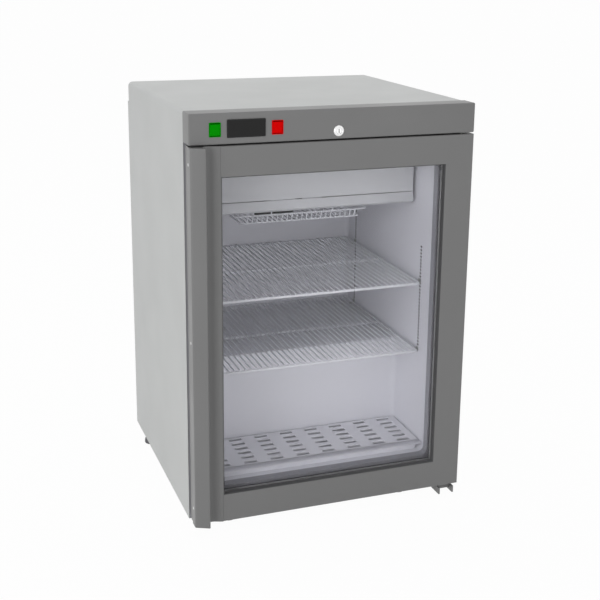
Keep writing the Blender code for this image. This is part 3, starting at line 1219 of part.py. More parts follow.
# Upper hinge: an angle bracket inside the fascia, and the pin that hangs from it into the door
UPPER_PLATE_Z = FASCIA_BOTTOM + UPPER_PLATE_RISE
UPPER_PLATE_TOP = UPPER_PLATE_Z + BRACKET_SHEET
bracket_run = [
    (HINGE_Y - UPPER_BRACKET_WIDTH / 4, UPPER_PLATE_Z), (FASCIA_BACK_Y, UPPER_PLATE_Z),
    (FASCIA_BACK_Y, UPPER_PLATE_Z + UPPER_BRACKET_RISE),
]
upper_left_x = HINGE_X - UPPER_BRACKET_WIDTH / 2
upper_right_x = HALF_WIDTH - SHEET * 2
upper_hinge_bracket = body(
    "upper_hinge_bracket", [prism(folded(bracket_run, BRACKET_SHEET), "x", upper_left_x, upper_right_x)],
    ZINC_STEEL,
)
upper_pin_hole = prism(pin_hole, "z", FASCIA_BOTTOM - CUT_OVERRUN, UPPER_PLATE_TOP + CUT_OVERRUN)
upper_pin_cutter = tool("upper_pin_cutter", [upper_pin_hole])
combine(upper_hinge_bracket, upper_pin_cutter, "DIFFERENCE")
upper_pin_profile = [
    (0, DOOR_TOP - BUSH_LENGTH + SEAT_GAP),
    (PIN_RADIUS, DOOR_TOP - BUSH_LENGTH + SEAT_GAP),
    (PIN_RADIUS, UPPER_PLATE_TOP + SEAT_GAP),
    (PIN_HEAD_RADIUS, UPPER_PLATE_TOP + SEAT_GAP),
    (PIN_HEAD_RADIUS, UPPER_PLATE_TOP + SEAT_GAP + PIN_HEAD),
    (0, UPPER_PLATE_TOP + SEAT_GAP + PIN_HEAD),
]
upper_hinge_pin = body(
    "upper_hinge_pin", [turned(upper_pin_profile, (HINGE_X, HINGE_Y), "z", PIN_SIDES)], ZINC_STEEL,
    SMOOTH_DEGREES,
)
combine(control_fascia, tool("fascia_opening_cutter", fascia_openings), "DIFFERENCE")
combine(control_fascia, upper_pin_cutter, "DIFFERENCE")

# Evaporator cover: a moulded hood under the ceiling, its front folded forward along the lower edge
COVER_Y = DOOR_FACE_Y + COVER_SETBACK
COVER_TOP = CEILING_Z - SEAT_GAP
COVER_FOLD_Z = COVER_BOTTOM + COVER_FOLD_HEIGHT
cover_side = [
    (COVER_Y, COVER_TOP), (COVER_Y, COVER_FOLD_Z), (COVER_Y - COVER_NOSE, COVER_BOTTOM + COVER_SHEET),
    (COVER_Y - COVER_NOSE + COVER_SHEET, COVER_BOTTOM), (COVER_BACK_Y, COVER_BOTTOM),
    (COVER_BACK_Y, COVER_TOP),
]
evaporator_cover = body(
    "evaporator_cover", [prism(cover_side, "x", -COVER_HALF_WIDTH, COVER_HALF_WIDTH)], COVER_PLASTIC,
)
cover_room = [
    (COVER_Y + COVER_SHEET, COVER_TOP + CUT_OVERRUN),
    (COVER_Y + COVER_SHEET, COVER_FOLD_Z),
    (COVER_Y - COVER_NOSE + COVER_SHEET, COVER_BOTTOM + COVER_SHEET),
    (COVER_BACK_Y - COVER_SHEET, COVER_BOTTOM + COVER_SHEET),
    (COVER_BACK_Y - COVER_SHEET, COVER_TOP + CUT_OVERRUN),
]
cover_inside = COVER_HALF_WIDTH - COVER_SHEET
combine(
    evaporator_cover, tool("cover_room_cutter", [prism(cover_room, "x", -cover_inside, cover_inside)]),
    "DIFFERENCE",
)
FAN_Y = DOOR_FACE_Y + FAN_SETBACK
fan_hole = prism(
    circle((0, FAN_Y), FAN_OPENING_RADIUS, ROUND_SIDES), "z", COVER_BOTTOM - CUT_OVERRUN,
    COVER_BOTTOM + COVER_SHEET + CUT_OVERRUN,
)
combine(evaporator_cover, tool("fan_hole_cutter", [fan_hole]), "DIFFERENCE")
service_low = (
    SUCTION_OFFSET - TUBE_BEND_RADIUS, COVER_BACK_Y - COVER_SHEET - CUT_OVERRUN,
    suction_top_z - TUBE_BEND_RADIUS,
)
service_high = (
    SUCTION_OFFSET + TUBE_BEND_RADIUS, COVER_BACK_Y + CUT_OVERRUN, suction_top_z + TUBE_BEND_RADIUS,
)
combine(evaporator_cover, tool("service_opening_cutter", [block(service_low, service_high)]), "DIFFERENCE")
drain_port = prism(
    circle((COMPRESSOR_X, DRAIN_TOP_Z), DRAIN_RADIUS + SEAT_GAP, TUBE_SIDES), "y",
    COVER_BACK_Y - COVER_SHEET - CUT_OVERRUN, COVER_BACK_Y + CUT_OVERRUN,
)
combine(evaporator_cover, tool("drain_port_cutter", [drain_port]), "DIFFERENCE")
combine(evaporator_cover, core_tool("cover_corner_trimmer", -SEAT_GAP), "INTERSECT")


def finned_coil(name, centre_x, front_y, low_z, half_width, depth, height):
    """A coil of straight passes with return bends, through a row of upright fins."""
    middle_y = front_y + depth / 2
    pass_pitch = height / COIL_PASSES
    bend = pass_pitch / 2
    route = []
    for k in range(COIL_PASSES):
        z = low_z + pass_pitch * (k + 1 / 2)
        ends = (centre_x - half_width, centre_x + half_width)
        if k % 2 == 1:
            ends = ends[::-1]
        way = 1 if ends[1] > ends[0] else -1
        route.append((ends[0] - way * bend * (k == 0), middle_y, z))
        route.append((ends[1], middle_y, z))
        if k < COIL_PASSES - 1:
            for degrees in (-45.0, 0.0, 45.0):
                turn = math.radians(degrees)
                route.append(
                    (ends[1] + way * bend * math.cos(turn), middle_y, z + bend + bend * math.sin(turn))
                )
    coil = body(name, [tube(route, COIL_TUBE_RADIUS, COIL_TUBE_SIDES)], ALUMINIUM, SMOOTH_DEGREES)
    fins = []
    for x in np.linspace(centre_x - half_width, centre_x + half_width, COIL_FINS):
        thickness = COIL_FIN_THICKNESS
        start = min(max(x - thickness / 2, centre_x - half_width), centre_x + half_width - thickness)
        fins.append(block((start, front_y, low_z), (start + thickness, front_y + depth, low_z + height)))
    combine(coil, tool(name + "_fins", fins), "UNION")
    return coil


def fan(name, axis, centre, place, sweep, facing):
    """A moulded fan: a domed hub with twisted blades, its hub running from place along facing."""
    hub_end = place + facing * FAN_HUB_LENGTH
    dome = FAN_HUB_RADIUS / 4
    profile = [
        (0, place), (FAN_HUB_RADIUS, place), (FAN_HUB_RADIUS, hub_end - facing * dome),
        (FAN_HUB_RADIUS - dome, hub_end), (0, hub_end),
    ]
    hub = body(name, [turned(profile, centre, axis, FOOT_SIDES)], BLACK_PLASTIC, SMOOTH_DEGREES)
    middle = place + facing * FAN_HUB_LENGTH / 2
    blades = []
    stations = (
        (FAN_HUB_RADIUS - dome, FAN_BLADE_ROOT_DEGREES, 1 / 2),
        ((FAN_HUB_RADIUS + sweep) / 2, (FAN_BLADE_ROOT_DEGREES + FAN_BLADE_TIP_DEGREES) / 2, 1.0),
        (sweep - dome, FAN_BLADE_TIP_DEGREES, 1.0),
    )
    for b in range(FAN_BLADES):
        spoke = 2 * math.pi * b / FAN_BLADES
        points = []
        for radius, pitch_degrees, chord_share in stations:
            pitch = math.radians(pitch_degrees)
            half_chord = FAN_BLADE_CHORD * chord_share / 2
            for along, rise in ((-1, -1), (1, -1), (1, 1), (-1, 1)):
                along_chord = along * half_chord
                off_chord = rise * FAN_BLADE_THICKNESS / 2
                reach = along_chord * math.cos(pitch) - off_chord * math.sin(pitch)
                lift = along_chord * math.sin(pitch) + off_chord * math.cos(pitch)
                a = centre[0] + radius * math.cos(spoke) - reach * math.sin(spoke)
                c = centre[1] + radius * math.sin(spoke) + reach * math.cos(spoke)
                points.append(placed(axis, a, c, middle + lift))
        faces = [(0, 1, 2, 3), (8, 9, 10, 11)]
        for s in (0, 4):
            for k in range(4):
                m = (k + 1) % 4
                faces.append((s + k, s + m, s + m + 4, s + k + 4))
        blades.append((points, faces))
    combine(hub, tool(name + "_blades", blades), "UNION")
    return hub


# Evaporator and its fan, hidden above the cover's opening
evaporator_coil = finned_coil(
    "evaporator_coil", 0, EVAPORATOR_BACK_Y - EVAPORATOR_DEPTH, EVAPORATOR_Z,
    cover_inside - EVAPORATOR_SIDE_GAP, EVAPORATOR_DEPTH, EVAPORATOR_HEIGHT,
)
FAN_HUB_Z = COVER_BOTTOM + COVER_SHEET + FAN_HUB_LENGTH + FAN_RUNNING_GAP
evaporator_fan = fan("evaporator_fan", "z", (0, FAN_Y), FAN_HUB_Z, FAN_SWEEP_RADIUS, -1)
set_origin(evaporator_fan, (0, FAN_Y, FAN_HUB_Z))
motor_low = FAN_HUB_Z + FAN_RUNNING_GAP
motor_high = CEILING_Z - SEAT_GAP
motor_shoulder = MOTOR_RADIUS / 5
motor_profile = [
    (0, FAN_HUB_Z + SEAT_GAP),
    (MOTOR_SHAFT_RADIUS, FAN_HUB_Z + SEAT_GAP),
    (MOTOR_SHAFT_RADIUS, motor_low),
    (MOTOR_RADIUS - motor_shoulder, motor_low),
    (MOTOR_RADIUS, motor_low + motor_shoulder),
    (MOTOR_RADIUS, motor_low + MOTOR_LENGTH - motor_shoulder),
    (MOTOR_RADIUS - motor_shoulder, motor_low + MOTOR_LENGTH),
    (0, motor_low + MOTOR_LENGTH),
]
evaporator_fan_motor = body(
    "evaporator_fan_motor", [turned(motor_profile, (0, FAN_Y), "z", FOOT_SIDES)], GALVANISED,
    SMOOTH_DEGREES,
)
hanger_low = motor_low + MOTOR_LENGTH - MOTOR_ARM_SHEET
hanger_run = [
    (-MOTOR_RADIUS * 2, motor_high), (-MOTOR_RADIUS - MOTOR_ARM_SHEET, motor_high),
    (-MOTOR_RADIUS - MOTOR_ARM_SHEET, hanger_low), (MOTOR_RADIUS + MOTOR_ARM_SHEET, hanger_low),
    (MOTOR_RADIUS + MOTOR_ARM_SHEET, motor_high), (MOTOR_RADIUS * 2, motor_high),
]
hanger = prism(
    folded(hanger_run[::-1], MOTOR_ARM_SHEET), "y", FAN_Y - MOTOR_ARM_WIDTH / 2,
    FAN_Y + MOTOR_ARM_WIDTH / 2,
)
combine(evaporator_fan_motor, tool("motor_hanger", [hanger]), "UNION")

# Fan guard: a shallow wire basket hung on four hooks under the cover, its bent wires welded to two rings
GUARD_Y = FAN_Y - GUARD_LENGTH / 2
GUARD_TOP = COVER_BOTTOM - GUARD_HANG
GUARD_BOTTOM = GUARD_TOP - GUARD_DEPTH


def wire_loop(half_width, front, back, z, corner, radius, sides, turn):
    """A closed bar round a rectangle in the level plane at z, its corners cut back by corner."""
    route = []
    for x, y, sx, sy in (
        (half_width, front, 1, -1), (half_width, back, 1, 1), (-half_width, back, -1, 1),
        (-half_width, front, -1, -1),
    ):
        stops = [(x - sx * corner, y), (x, y - sy * corner)]
        if corner == 0:
            stops = [(x, y)]
        route += stops if sx * sy < 0 else stops[::-1]
    points = []
    count = len(route)
    for i, stop in enumerate(route):
        before = (Vector(stop) - Vector(route[i - 1])).normalized()
        after = (Vector(route[(i + 1) % count]) - Vector(stop)).normalized()
        outward = Vector((before.y + after.y, -before.x - after.x)).normalized()
        stretch = 1 / outward.dot(Vector((after.y, -after.x)))
        for a, b in circle((0, 0), radius, sides, turn):
            points.append((stop[0] + outward.x * a * stretch, stop[1] + outward.y * a * stretch, z + b))
    faces = []
    for i in range(count):
        j = (i + 1) % count
        for k in range(sides):
            m = (k + 1) % sides
            faces.append((i * sides + k, i * sides + m, j * sides + m, j * sides + k))
    return points, faces


ring_radius = GUARD_RING_WIRE / math.sqrt(2)
guard_rings = [
    wire_loop(
        GUARD_TOP_HALF_WIDTH, GUARD_Y, GUARD_Y + GUARD_LENGTH, GUARD_TOP - GUARD_RING_WIRE, 0,
        ring_radius, 4, 45.0,
    ),
    wire_loop(
        GUARD_BOTTOM_HALF_WIDTH, GUARD_Y + GUARD_SLOPE, GUARD_Y + GUARD_LENGTH - GUARD_SLOPE,
        GUARD_BOTTOM + GUARD_RING_WIRE, 0, ring_radius, 4, 45.0,
    ),
]
fan_guard = body("fan_guard", guard_rings, WIRE_COATING)
weld_shift = GUARD_RING_WIRE / 2 + GUARD_WIRE / 2 - SHELF_WELD
guard_wires = []
for k in range(GUARD_WIRES):
    wire_x = (k - (GUARD_WIRES - 1) / 2) * GUARD_WIRE_PITCH
    top_z = GUARD_TOP - GUARD_RING_WIRE / 2
    low_z = GUARD_BOTTOM + GUARD_RING_WIRE - weld_shift
    front_y = GUARD_Y - weld_shift
    back_y = GUARD_Y + GUARD_LENGTH + weld_shift
    wire_route = [
        (wire_x, front_y, top_z), (wire_x, front_y + GUARD_SLOPE, low_z),
        (wire_x, back_y - GUARD_SLOPE, low_z), (wire_x, back_y, top_z),
    ]
    guard_wires.append(tube(wire_route, GUARD_WIRE / 2, 4, 0.0))
for hook_x in (-GUARD_TOP_HALF_WIDTH, GUARD_TOP_HALF_WIDTH):
    for hook_share in GUARD_HOOK_SHARES:
        hook_y = GUARD_Y + GUARD_LENGTH * hook_share
        hook_half = GUARD_RING_WIRE / 2 - SHELF_WELD / 4
        hook_low = (hook_x - hook_half, hook_y - hook_half, GUARD_TOP - GUARD_RING_WIRE)
        guard_wires.append(block(hook_low, (hook_x + hook_half, hook_y + hook_half, COVER_BOTTOM - SEAT_GAP)))
combine(fan_guard, tool("guard_wires", guard_wires), "UNION")


# Wire shelves: a heavy rim, one cross wire under the middle, and the thin wires welded across the top
def wire_shelf(name, top):
    """A welded wire shelf whose thin wires' tops lie at the height top."""
    wire_z = top - SHELF_WIRE / 2
    rim_apothem = SHELF_RIM_WIRE / 2 * math.cos(math.pi / 6)
    rim_z = wire_z - SHELF_WIRE / 2 + SHELF_WELD - rim_apothem
    front = DOOR_FACE_Y + SHELF_FRONT_SETBACK + SHELF_RIM_WIRE / 2
    back = LINER_BACK_Y - SHELF_BACK_GAP - SHELF_RIM_WIRE / 2
    rim_half = INNER_HALF_WIDTH - SHELF_SIDE_GAP - SHELF_RIM_WIRE / 2
    shelf = body(
        name, [wire_loop(rim_half, front, back, rim_z, SHELF_CORNER, SHELF_RIM_WIRE / 2, 6, 0.0)],
        WIRE_COATING,
    )
    cross_z = rim_z + rim_apothem - SHELF_CROSS_WIRE / 2
    section = circle(
        ((front + back) / 2, cross_z - SHELF_WELD / 4), SHELF_CROSS_WIRE / math.sqrt(2), 4, 45.0,
    )
    combine(shelf, tool(name + "_cross_wire", [prism(section, "x", -rim_half, rim_half)]), "UNION")
    wires = []
    wire_count = math.floor(rim_half * 2 / SHELF_WIRE_PITCH) + 1
    for k in range(wire_count):
        x = (k - (wire_count - 1) / 2) * SHELF_WIRE_PITCH
        wires.append(prism(circle((x, wire_z), SHELF_WIRE / 2, 4), "y", front, back))
    combine(shelf, tool(name + "_wires", wires), "UNION")
    return shelf


SHELF_TOPS = {"upper": UPPER_SHELF_Z, "lower": LOWER_SHELF_Z}
for shelf_name, shelf_top in SHELF_TOPS.items():
    wire_shelf(shelf_name + "_shelf", shelf_top)


# Shelf clips: a bent steel hook in a clip hole, with a tongue under the shelf's side rim
def shelf_clip(name, side_sign, y, top):
    """A clip on one side wall, its tongue just under the rim of the shelf whose wires' tops lie at top."""
    wire_z = top - SHELF_WIRE
    rim_bottom = wire_z + SHELF_WELD - SHELF_RIM_WIRE * math.cos(math.pi / 6)
    tongue_top = rim_bottom - SEAT_GAP
    wall_x = INNER_HALF_WIDTH - CLIP_STANDOFF
    hole_row = math.floor((FIRST_HOLE_Z - tongue_top) / HOLE_PITCH)
    peg_z = FIRST_HOLE_Z - hole_row * HOLE_PITCH
    tongue_low = tongue_top - CLIP_SHEET
    run = [(wall_x - CLIP_TONGUE, tongue_low), (wall_x, tongue_low), (wall_x, peg_z + CLIP_SHOULDER)]
    outline = [(side_sign * x, z) for x, z in folded(run, CLIP_SHEET)]
    clip = body(name, [prism(outline, "y", y - CLIP_WIDTH / 2, y + CLIP_WIDTH / 2)], ZINC_STEEL)
    peg = circle((y, peg_z), CLIP_PEG, 6)
    peg_ends = (side_sign * (wall_x - CLIP_SHEET / 2), side_sign * (INNER_HALF_WIDTH + LINER_WALL))
    combine(clip, tool(name + "_peg", [prism(peg, "x", min(peg_ends), max(peg_ends))]), "UNION")
    return clip


for shelf_name, shelf_top in SHELF_TOPS.items():
    for end_name, column_y in (("front", FRONT_HOLE_Y), ("rear", REAR_HOLE_Y)):
        for side_name, side_sign in (("left", -1), ("right", 1)):
            clip_name = "_".join((shelf_name, "clip", end_name, side_name))
            shelf_clip(clip_name, side_sign, column_y, shelf_top)

# Floor tray: a slotted sheet with a lip down its front and back, its lip ends cut at a slant
TRAY_Z = FLOOR_Z + TRAY_RISE
TRAY_Y = DOOR_FACE_Y + TRAY_SETBACK
TRAY_BACK_Y = STEP_Y - TRAY_BACK_GAP
TRAY_HALF_WIDTH = INNER_HALF_WIDTH - TRAY_SIDE_GAP
TRAY_COLUMN_PITCH = (TRAY_HALF_WIDTH - TRAY_SIDE_MARGIN) * 2 / (TRAY_COLUMNS - 1)
tray_foot = FLOOR_Z + SEAT_GAP
tray_heel = FLOOR_Z + TRAY_REAR_LIP_RISE
tray_run = [(TRAY_Y, tray_foot), (TRAY_Y, TRAY_Z), (TRAY_BACK_Y, TRAY_Z), (TRAY_BACK_Y, tray_heel)]
floor_tray = body(
    "floor_tray", [prism(folded(tray_run, -TRAY_SHEET), "x", -TRAY_HALF_WIDTH, TRAY_HALF_WIDTH)],
    TRAY_PAINT,
)
slots = []
for column in range(TRAY_COLUMNS):
    for row in range(TRAY_ROWS):
        slot_x = (column - (TRAY_COLUMNS - 1) / 2) * TRAY_COLUMN_PITCH
        slot_y = (TRAY_Y + TRAY_BACK_Y) / 2 + (row - (TRAY_ROWS - 1) / 2) * TRAY_ROW_PITCH
        low = (
            slot_x - TRAY_SLOT_LENGTH / 2, slot_y - TRAY_SLOT_WIDTH / 2, TRAY_Z - TRAY_SHEET - CUT_OVERRUN,
        )
        high = (slot_x + TRAY_SLOT_LENGTH / 2, slot_y + TRAY_SLOT_WIDTH / 2, TRAY_Z + CUT_OVERRUN)
        slots.append(block(low, high))
combine(floor_tray, tool("tray_slot_cutter", slots), "DIFFERENCE")
tray_ends = []
tray_corners = []
for side_sign in (-1, 1):
    slant_top = TRAY_Z - TRAY_SHEET * 2
    slant = [
        (side_sign * TRAY_HALF_WIDTH, slant_top),
        (side_sign * (TRAY_HALF_WIDTH + CUT_OVERRUN), slant_top),
        (side_sign * (TRAY_HALF_WIDTH + CUT_OVERRUN), FLOOR_Z - CUT_OVERRUN),
        (side_sign * (TRAY_HALF_WIDTH - TRAY_LIP_TAPER), FLOOR_Z - CUT_OVERRUN),
    ]
    tray_ends.append(prism(slant, "y", TRAY_Y - CUT_OVERRUN, TRAY_BACK_Y + CUT_OVERRUN))
    edge_x = side_sign * (TRAY_HALF_WIDTH + TRAY_BACK_CORNER)
    corner_cut_x = edge_x - side_sign * (TRAY_BACK_CORNER * 2 + CUT_OVERRUN)
    back_corner = [
        (edge_x, TRAY_BACK_Y - TRAY_BACK_CORNER * 2), (edge_x, TRAY_BACK_Y + CUT_OVERRUN),
        (corner_cut_x, TRAY_BACK_Y + CUT_OVERRUN),
    ]
    tray_corners.append(prism(back_corner, "z", FLOOR_Z, TRAY_Z + CUT_OVERRUN))
combine(floor_tray, tool("tray_slant_cutter", tray_ends), "DIFFERENCE")
combine(floor_tray, tool("tray_corner_cutter", tray_corners), "DIFFERENCE")


# Compressor: a welded two-part can on a foot plate
def oval(centre, half_width, half_depth, sides):
    """An oval outline in x and y, fuller than an ellipse."""
    points = []
    for c, s in circle((0, 0), 1.0, sides):
        reach_x = math.copysign(abs(c) ** COMPRESSOR_FULLNESS_SHARE, c)
        reach_y = math.copysign(abs(s) ** COMPRESSOR_FULLNESS_SHARE, s)
        points.append((centre[0] + half_width * reach_x, centre[1] + half_depth * reach_y))
    return points


CAN_STATIONS = (
    (0.00, 0.62), (0.05, 0.84), (0.16, 0.98), (0.50, 1.00), (0.56, 1.00), (0.84, 0.95), (0.95, 0.74),
    (1.00, 0.40),
)
CAN_RIM_STATIONS = (3, 4)
can_points = []
for station, (height_share, width_share) in enumerate(CAN_STATIONS):
    rim = COMPRESSOR_RIM if station in CAN_RIM_STATIONS else 0
    ring = oval(
        (COMPRESSOR_X, COMPRESSOR_Y), COMPRESSOR_HALF_WIDTH * width_share + rim,
        COMPRESSOR_HALF_DEPTH * width_share + rim, CAN_SIDES,
    )
    can_points += [(x, y, COMPRESSOR_BASE_Z + COMPRESSOR_HEIGHT * height_share) for x, y in ring]
can_faces = [tuple(range(CAN_SIDES)), tuple(range(len(can_points) - CAN_SIDES, len(can_points)))]
for i in range(len(CAN_STATIONS) - 1):
    for k in range(CAN_SIDES):
        m = (k + 1) % CAN_SIDES
        can_faces.append(
            (i * CAN_SIDES + k, i * CAN_SIDES + m, (i + 1) * CAN_SIDES + m, (i + 1) * CAN_SIDES + k)
        )
compressor = body("compressor", [(can_points, can_faces)], COMPRESSOR_BLACK, SMOOTH_DEGREES)
foot_x = COMPRESSOR_FOOT_LENGTH / 2
foot_y = COMPRESSOR_FOOT_WIDTH / 2
plate_z = COMPRESSOR_BASE_Z + COMPRESSOR_FOOT_SHEET / 2
stand_z = BAY_FLOOR_TOP + SEAT_GAP
foot_run = [
    (COMPRESSOR_X - foot_x, stand_z),
    (COMPRESSOR_X - foot_x + COMPRESSOR_FOOT_RISE * 2, stand_z),
    (COMPRESSOR_X - foot_x + COMPRESSOR_FOOT_RISE * 3, plate_z),
    (COMPRESSOR_X + foot_x - COMPRESSOR_FOOT_RISE * 3, plate_z),
    (COMPRESSOR_X + foot_x - COMPRESSOR_FOOT_RISE * 2, stand_z),
    (COMPRESSOR_X + foot_x, stand_z),
]
foot_plate = prism(
    folded(foot_run, COMPRESSOR_FOOT_SHEET), "y", COMPRESSOR_Y - foot_y, COMPRESSOR_Y + foot_y,
)
combine(compressor, tool("compressor_foot_plate", [foot_plate]), "UNION")

# Evaporation pan: an open tray on top of the compressor, under the drain
pan_low = (COMPRESSOR_X - PAN_HALF_WIDTH, COMPRESSOR_Y - PAN_HALF_DEPTH, PAN_Z)
pan_high = (COMPRESSOR_X + PAN_HALF_WIDTH, COMPRESSOR_Y + PAN_HALF_DEPTH, PAN_TOP_Z)
evaporation_pan = body("evaporation_pan", [block(pan_low, pan_high)], BLACK_PLASTIC)
pan_room_low = (pan_low[0] + PAN_WALL, pan_low[1] + PAN_WALL, PAN_Z + PAN_WALL)
pan_room_high = (pan_high[0] - PAN_WALL, pan_high[1] - PAN_WALL, PAN_TOP_Z + CUT_OVERRUN)
combine(evaporation_pan, tool("pan_room_cutter", [block(pan_room_low, pan_room_high)]), "DIFFERENCE")

# Condenser with its fan in front, both standing on the bay floor
CONDENSER_X = -HALF_WIDTH * CONDENSER_PLACE_SHARE
CONDENSER_HALF_WIDTH = HALF_WIDTH * CONDENSER_WIDTH_SHARE
CONDENSER_Y = PANEL_FRONT_Y - CONDENSER_BACK_GAP - CONDENSER_DEPTH
CONDENSER_Z = BAY_FLOOR_TOP + SEAT_GAP
condenser = finned_coil(
    "condenser", CONDENSER_X, CONDENSER_Y, CONDENSER_Z, CONDENSER_HALF_WIDTH, CONDENSER_DEPTH,
    CONDENSER_HEIGHT,
)
CONDENSER_FAN_Z = CONDENSER_Z + CONDENSER_HEIGHT / 2
condenser_hub_y = CONDENSER_Y - CONDENSER_FAN_GAP - FAN_HUB_LENGTH
condenser_fan = fan(
    "condenser_fan", "y", (CONDENSER_X, CONDENSER_FAN_Z), condenser_hub_y, FAN_SWEEP_RADIUS, 1,
)
set_origin(condenser_fan, (CONDENSER_X, condenser_hub_y, CONDENSER_FAN_Z))
motor_back = condenser_hub_y - FAN_RUNNING_GAP
condenser_motor_profile = [
    (0, condenser_hub_y - SEAT_GAP),
    (MOTOR_SHAFT_RADIUS, condenser_hub_y - SEAT_GAP),
    (MOTOR_SHAFT_RADIUS, motor_back),
    (MOTOR_RADIUS - motor_shoulder, motor_back),
    (MOTOR_RADIUS, motor_back - motor_shoulder),
    (MOTOR_RADIUS, motor_back - MOTOR_LENGTH + motor_shoulder),
    (MOTOR_RADIUS - motor_shoulder, motor_back - MOTOR_LENGTH),
    (0, motor_back - MOTOR_LENGTH),
]
condenser_fan_motor = body(
    "condenser_fan_motor",
    [turned(condenser_motor_profile, (CONDENSER_X, CONDENSER_FAN_Z), "y", FOOT_SIDES)], GALVANISED,
    SMOOTH_DEGREES,
)
stand_back = motor_back - MOTOR_LENGTH + MOTOR_ARM_SHEET
stand_front = stand_back - MOTOR_RADIUS
stand_run = [
    (stand_back, CONDENSER_FAN_Z + MOTOR_RADIUS / 2), (stand_back, CONDENSER_Z),
    (stand_front, CONDENSER_Z),
]
stand = prism(
    folded(stand_run, -MOTOR_ARM_SHEET), "x", CONDENSER_X - MOTOR_ARM_WIDTH,
    CONDENSER_X + MOTOR_ARM_WIDTH,
)
combine(condenser_fan_motor, tool("condenser_motor_stand", [stand]), "UNION")

# Discharge tube: from the compressor across to the top of the condenser
discharge_z = COMPRESSOR_BASE_Z + COMPRESSOR_HEIGHT / 4
discharge_start_x = COMPRESSOR_X - COMPRESSOR_HALF_WIDTH - SEAT_GAP
discharge_mid_x = (discharge_start_x + CONDENSER_X + CONDENSER_HALF_WIDTH) / 2
condenser_inlet_z = CONDENSER_Z + CONDENSER_HEIGHT * (1 - 1 / (2 * COIL_PASSES))
discharge_route = [
    (discharge_start_x, COMPRESSOR_Y, discharge_z),
    (discharge_mid_x, COMPRESSOR_Y, discharge_z),
    (discharge_mid_x, CONDENSER_Y + CONDENSER_DEPTH / 2, condenser_inlet_z),
    (
        CONDENSER_X + CONDENSER_HALF_WIDTH + SEAT_GAP, CONDENSER_Y + CONDENSER_DEPTH / 2,
        condenser_inlet_z,
    ),
]
discharge_line = body(
    "discharge_line",
    [tube(bent(discharge_route, TUBE_BEND_RADIUS, TUBE_BEND_STEPS), COPPER_RADIUS, TUBE_SIDES)], COPPER,
    SMOOTH_DEGREES,
)

# The whole door turns about the line of its two hinge pins
door_pieces = [
    door_frame, handle_profile, glass_outer, glass_inner, glass_spacer, inner_frame, door_gasket,
    lower_bush, upper_bush,
]
hang(door_pieces, "door_hinge_axis", (HINGE_X, HINGE_Y, 0))
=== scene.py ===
"""Looks for an under-counter display refrigerator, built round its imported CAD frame.

All sizes are in metres. The front faces -Y, the left side lies at -X, and the floor is at z = 0.
"""
import math

import bmesh
import bpy
import numpy as np
from mathutils import Euler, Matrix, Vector
from mathutils.geometry import delaunay_2d_cdt


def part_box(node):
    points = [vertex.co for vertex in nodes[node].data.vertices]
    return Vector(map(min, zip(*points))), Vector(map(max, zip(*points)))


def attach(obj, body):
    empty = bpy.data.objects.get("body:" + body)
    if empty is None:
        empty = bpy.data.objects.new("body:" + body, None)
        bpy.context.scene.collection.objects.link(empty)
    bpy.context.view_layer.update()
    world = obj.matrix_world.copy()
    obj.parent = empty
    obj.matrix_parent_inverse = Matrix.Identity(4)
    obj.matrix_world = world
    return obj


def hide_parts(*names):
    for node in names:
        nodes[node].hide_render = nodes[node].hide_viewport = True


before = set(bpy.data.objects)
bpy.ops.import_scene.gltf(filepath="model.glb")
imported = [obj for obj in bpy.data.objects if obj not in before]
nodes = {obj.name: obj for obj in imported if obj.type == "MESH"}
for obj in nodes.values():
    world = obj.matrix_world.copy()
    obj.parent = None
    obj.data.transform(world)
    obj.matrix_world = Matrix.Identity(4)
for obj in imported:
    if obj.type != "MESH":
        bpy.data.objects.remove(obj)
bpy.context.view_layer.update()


# Outer wrap
# The cabinet's skin is one sheet of pre-painted steel, folded over the top and down both sides.
# The folds are pressed to a 10 mm radius, and the top stops short of the sides at the back.
WRAP_BEND = 0.010
WRAP_SHEET = 0.001
WRAP_EDGE = 0.0003
WRAP_STEP_HEIGHT = 0.045
WRAP_STEP_DEPTH = 0.010
BEND_STEPS = 10
WRAP_PEEL = 0.0022
PEEL_HEIGHT = 0.00005
PAINT_PATCH = 0.16
HANDLED_PATCH = 1 / 9


def linear(code):
    """The linear RGBA of an sRGB hex colour: a power curve above 0.04045, and a straight line below."""
    channels = np.array([int(code[i:i + 2], 16) for i in (1, 3, 5)]) / 255
    bright = ((channels + 0.055) / 1.055) ** 2.4
    return (*np.where(channels > 0.04045, bright, channels / 12.92), 1.0)


def add(tree, kind, values=None, links=None, **settings):
    """Adds one shader node: its settings, the plain values of its inputs, and what feeds the others."""
    node = tree.nodes.new("ShaderNode" + kind)
    for key, value in settings.items():
        setattr(node, key, value)
    for key, value in (values or {}).items():
        node.inputs[key].default_value = value
    for key, source in (links or {}).items():
        tree.links.new(source, node.inputs[key])
    return node


def blank(name):
    """A new material, its node tree, its Principled shader, and the coordinates that patterns follow."""
    material = bpy.data.materials.new(name)
    material.use_nodes = True
    tree = material.node_tree
    place = add(tree, "TexCoord").outputs["Object"]
    return material, tree, tree.nodes["Principled BSDF"], place


def roughen(tree, shader, source, low, high):
    """Runs the roughness from low to high as a grey value goes from 0.3 to 0.7."""
    span = add(tree, "MapRange", {"From Min": 0.3, "From Max": 0.7, "To Min": low, "To Max": high},
               {"Value": source})
    tree.links.new(span.outputs["Result"], shader.inputs["Roughness"])


def relief(tree, shader, place, height, size, kind="Noise", values=None, **settings):
    """Raises the surface by up to height where a texture, whose features are size apart, is white."""
    texture = add(tree, "Tex" + kind, {"Scale": 1 / size, **(values or {})}, {"Vector": place}, **settings)
    bump = add(tree, "Bump", {"Strength": 1.0, "Distance": height}, {"Height": texture.outputs[0]})
    tree.links.new(bump.outputs[0], shader.inputs["Normal"])


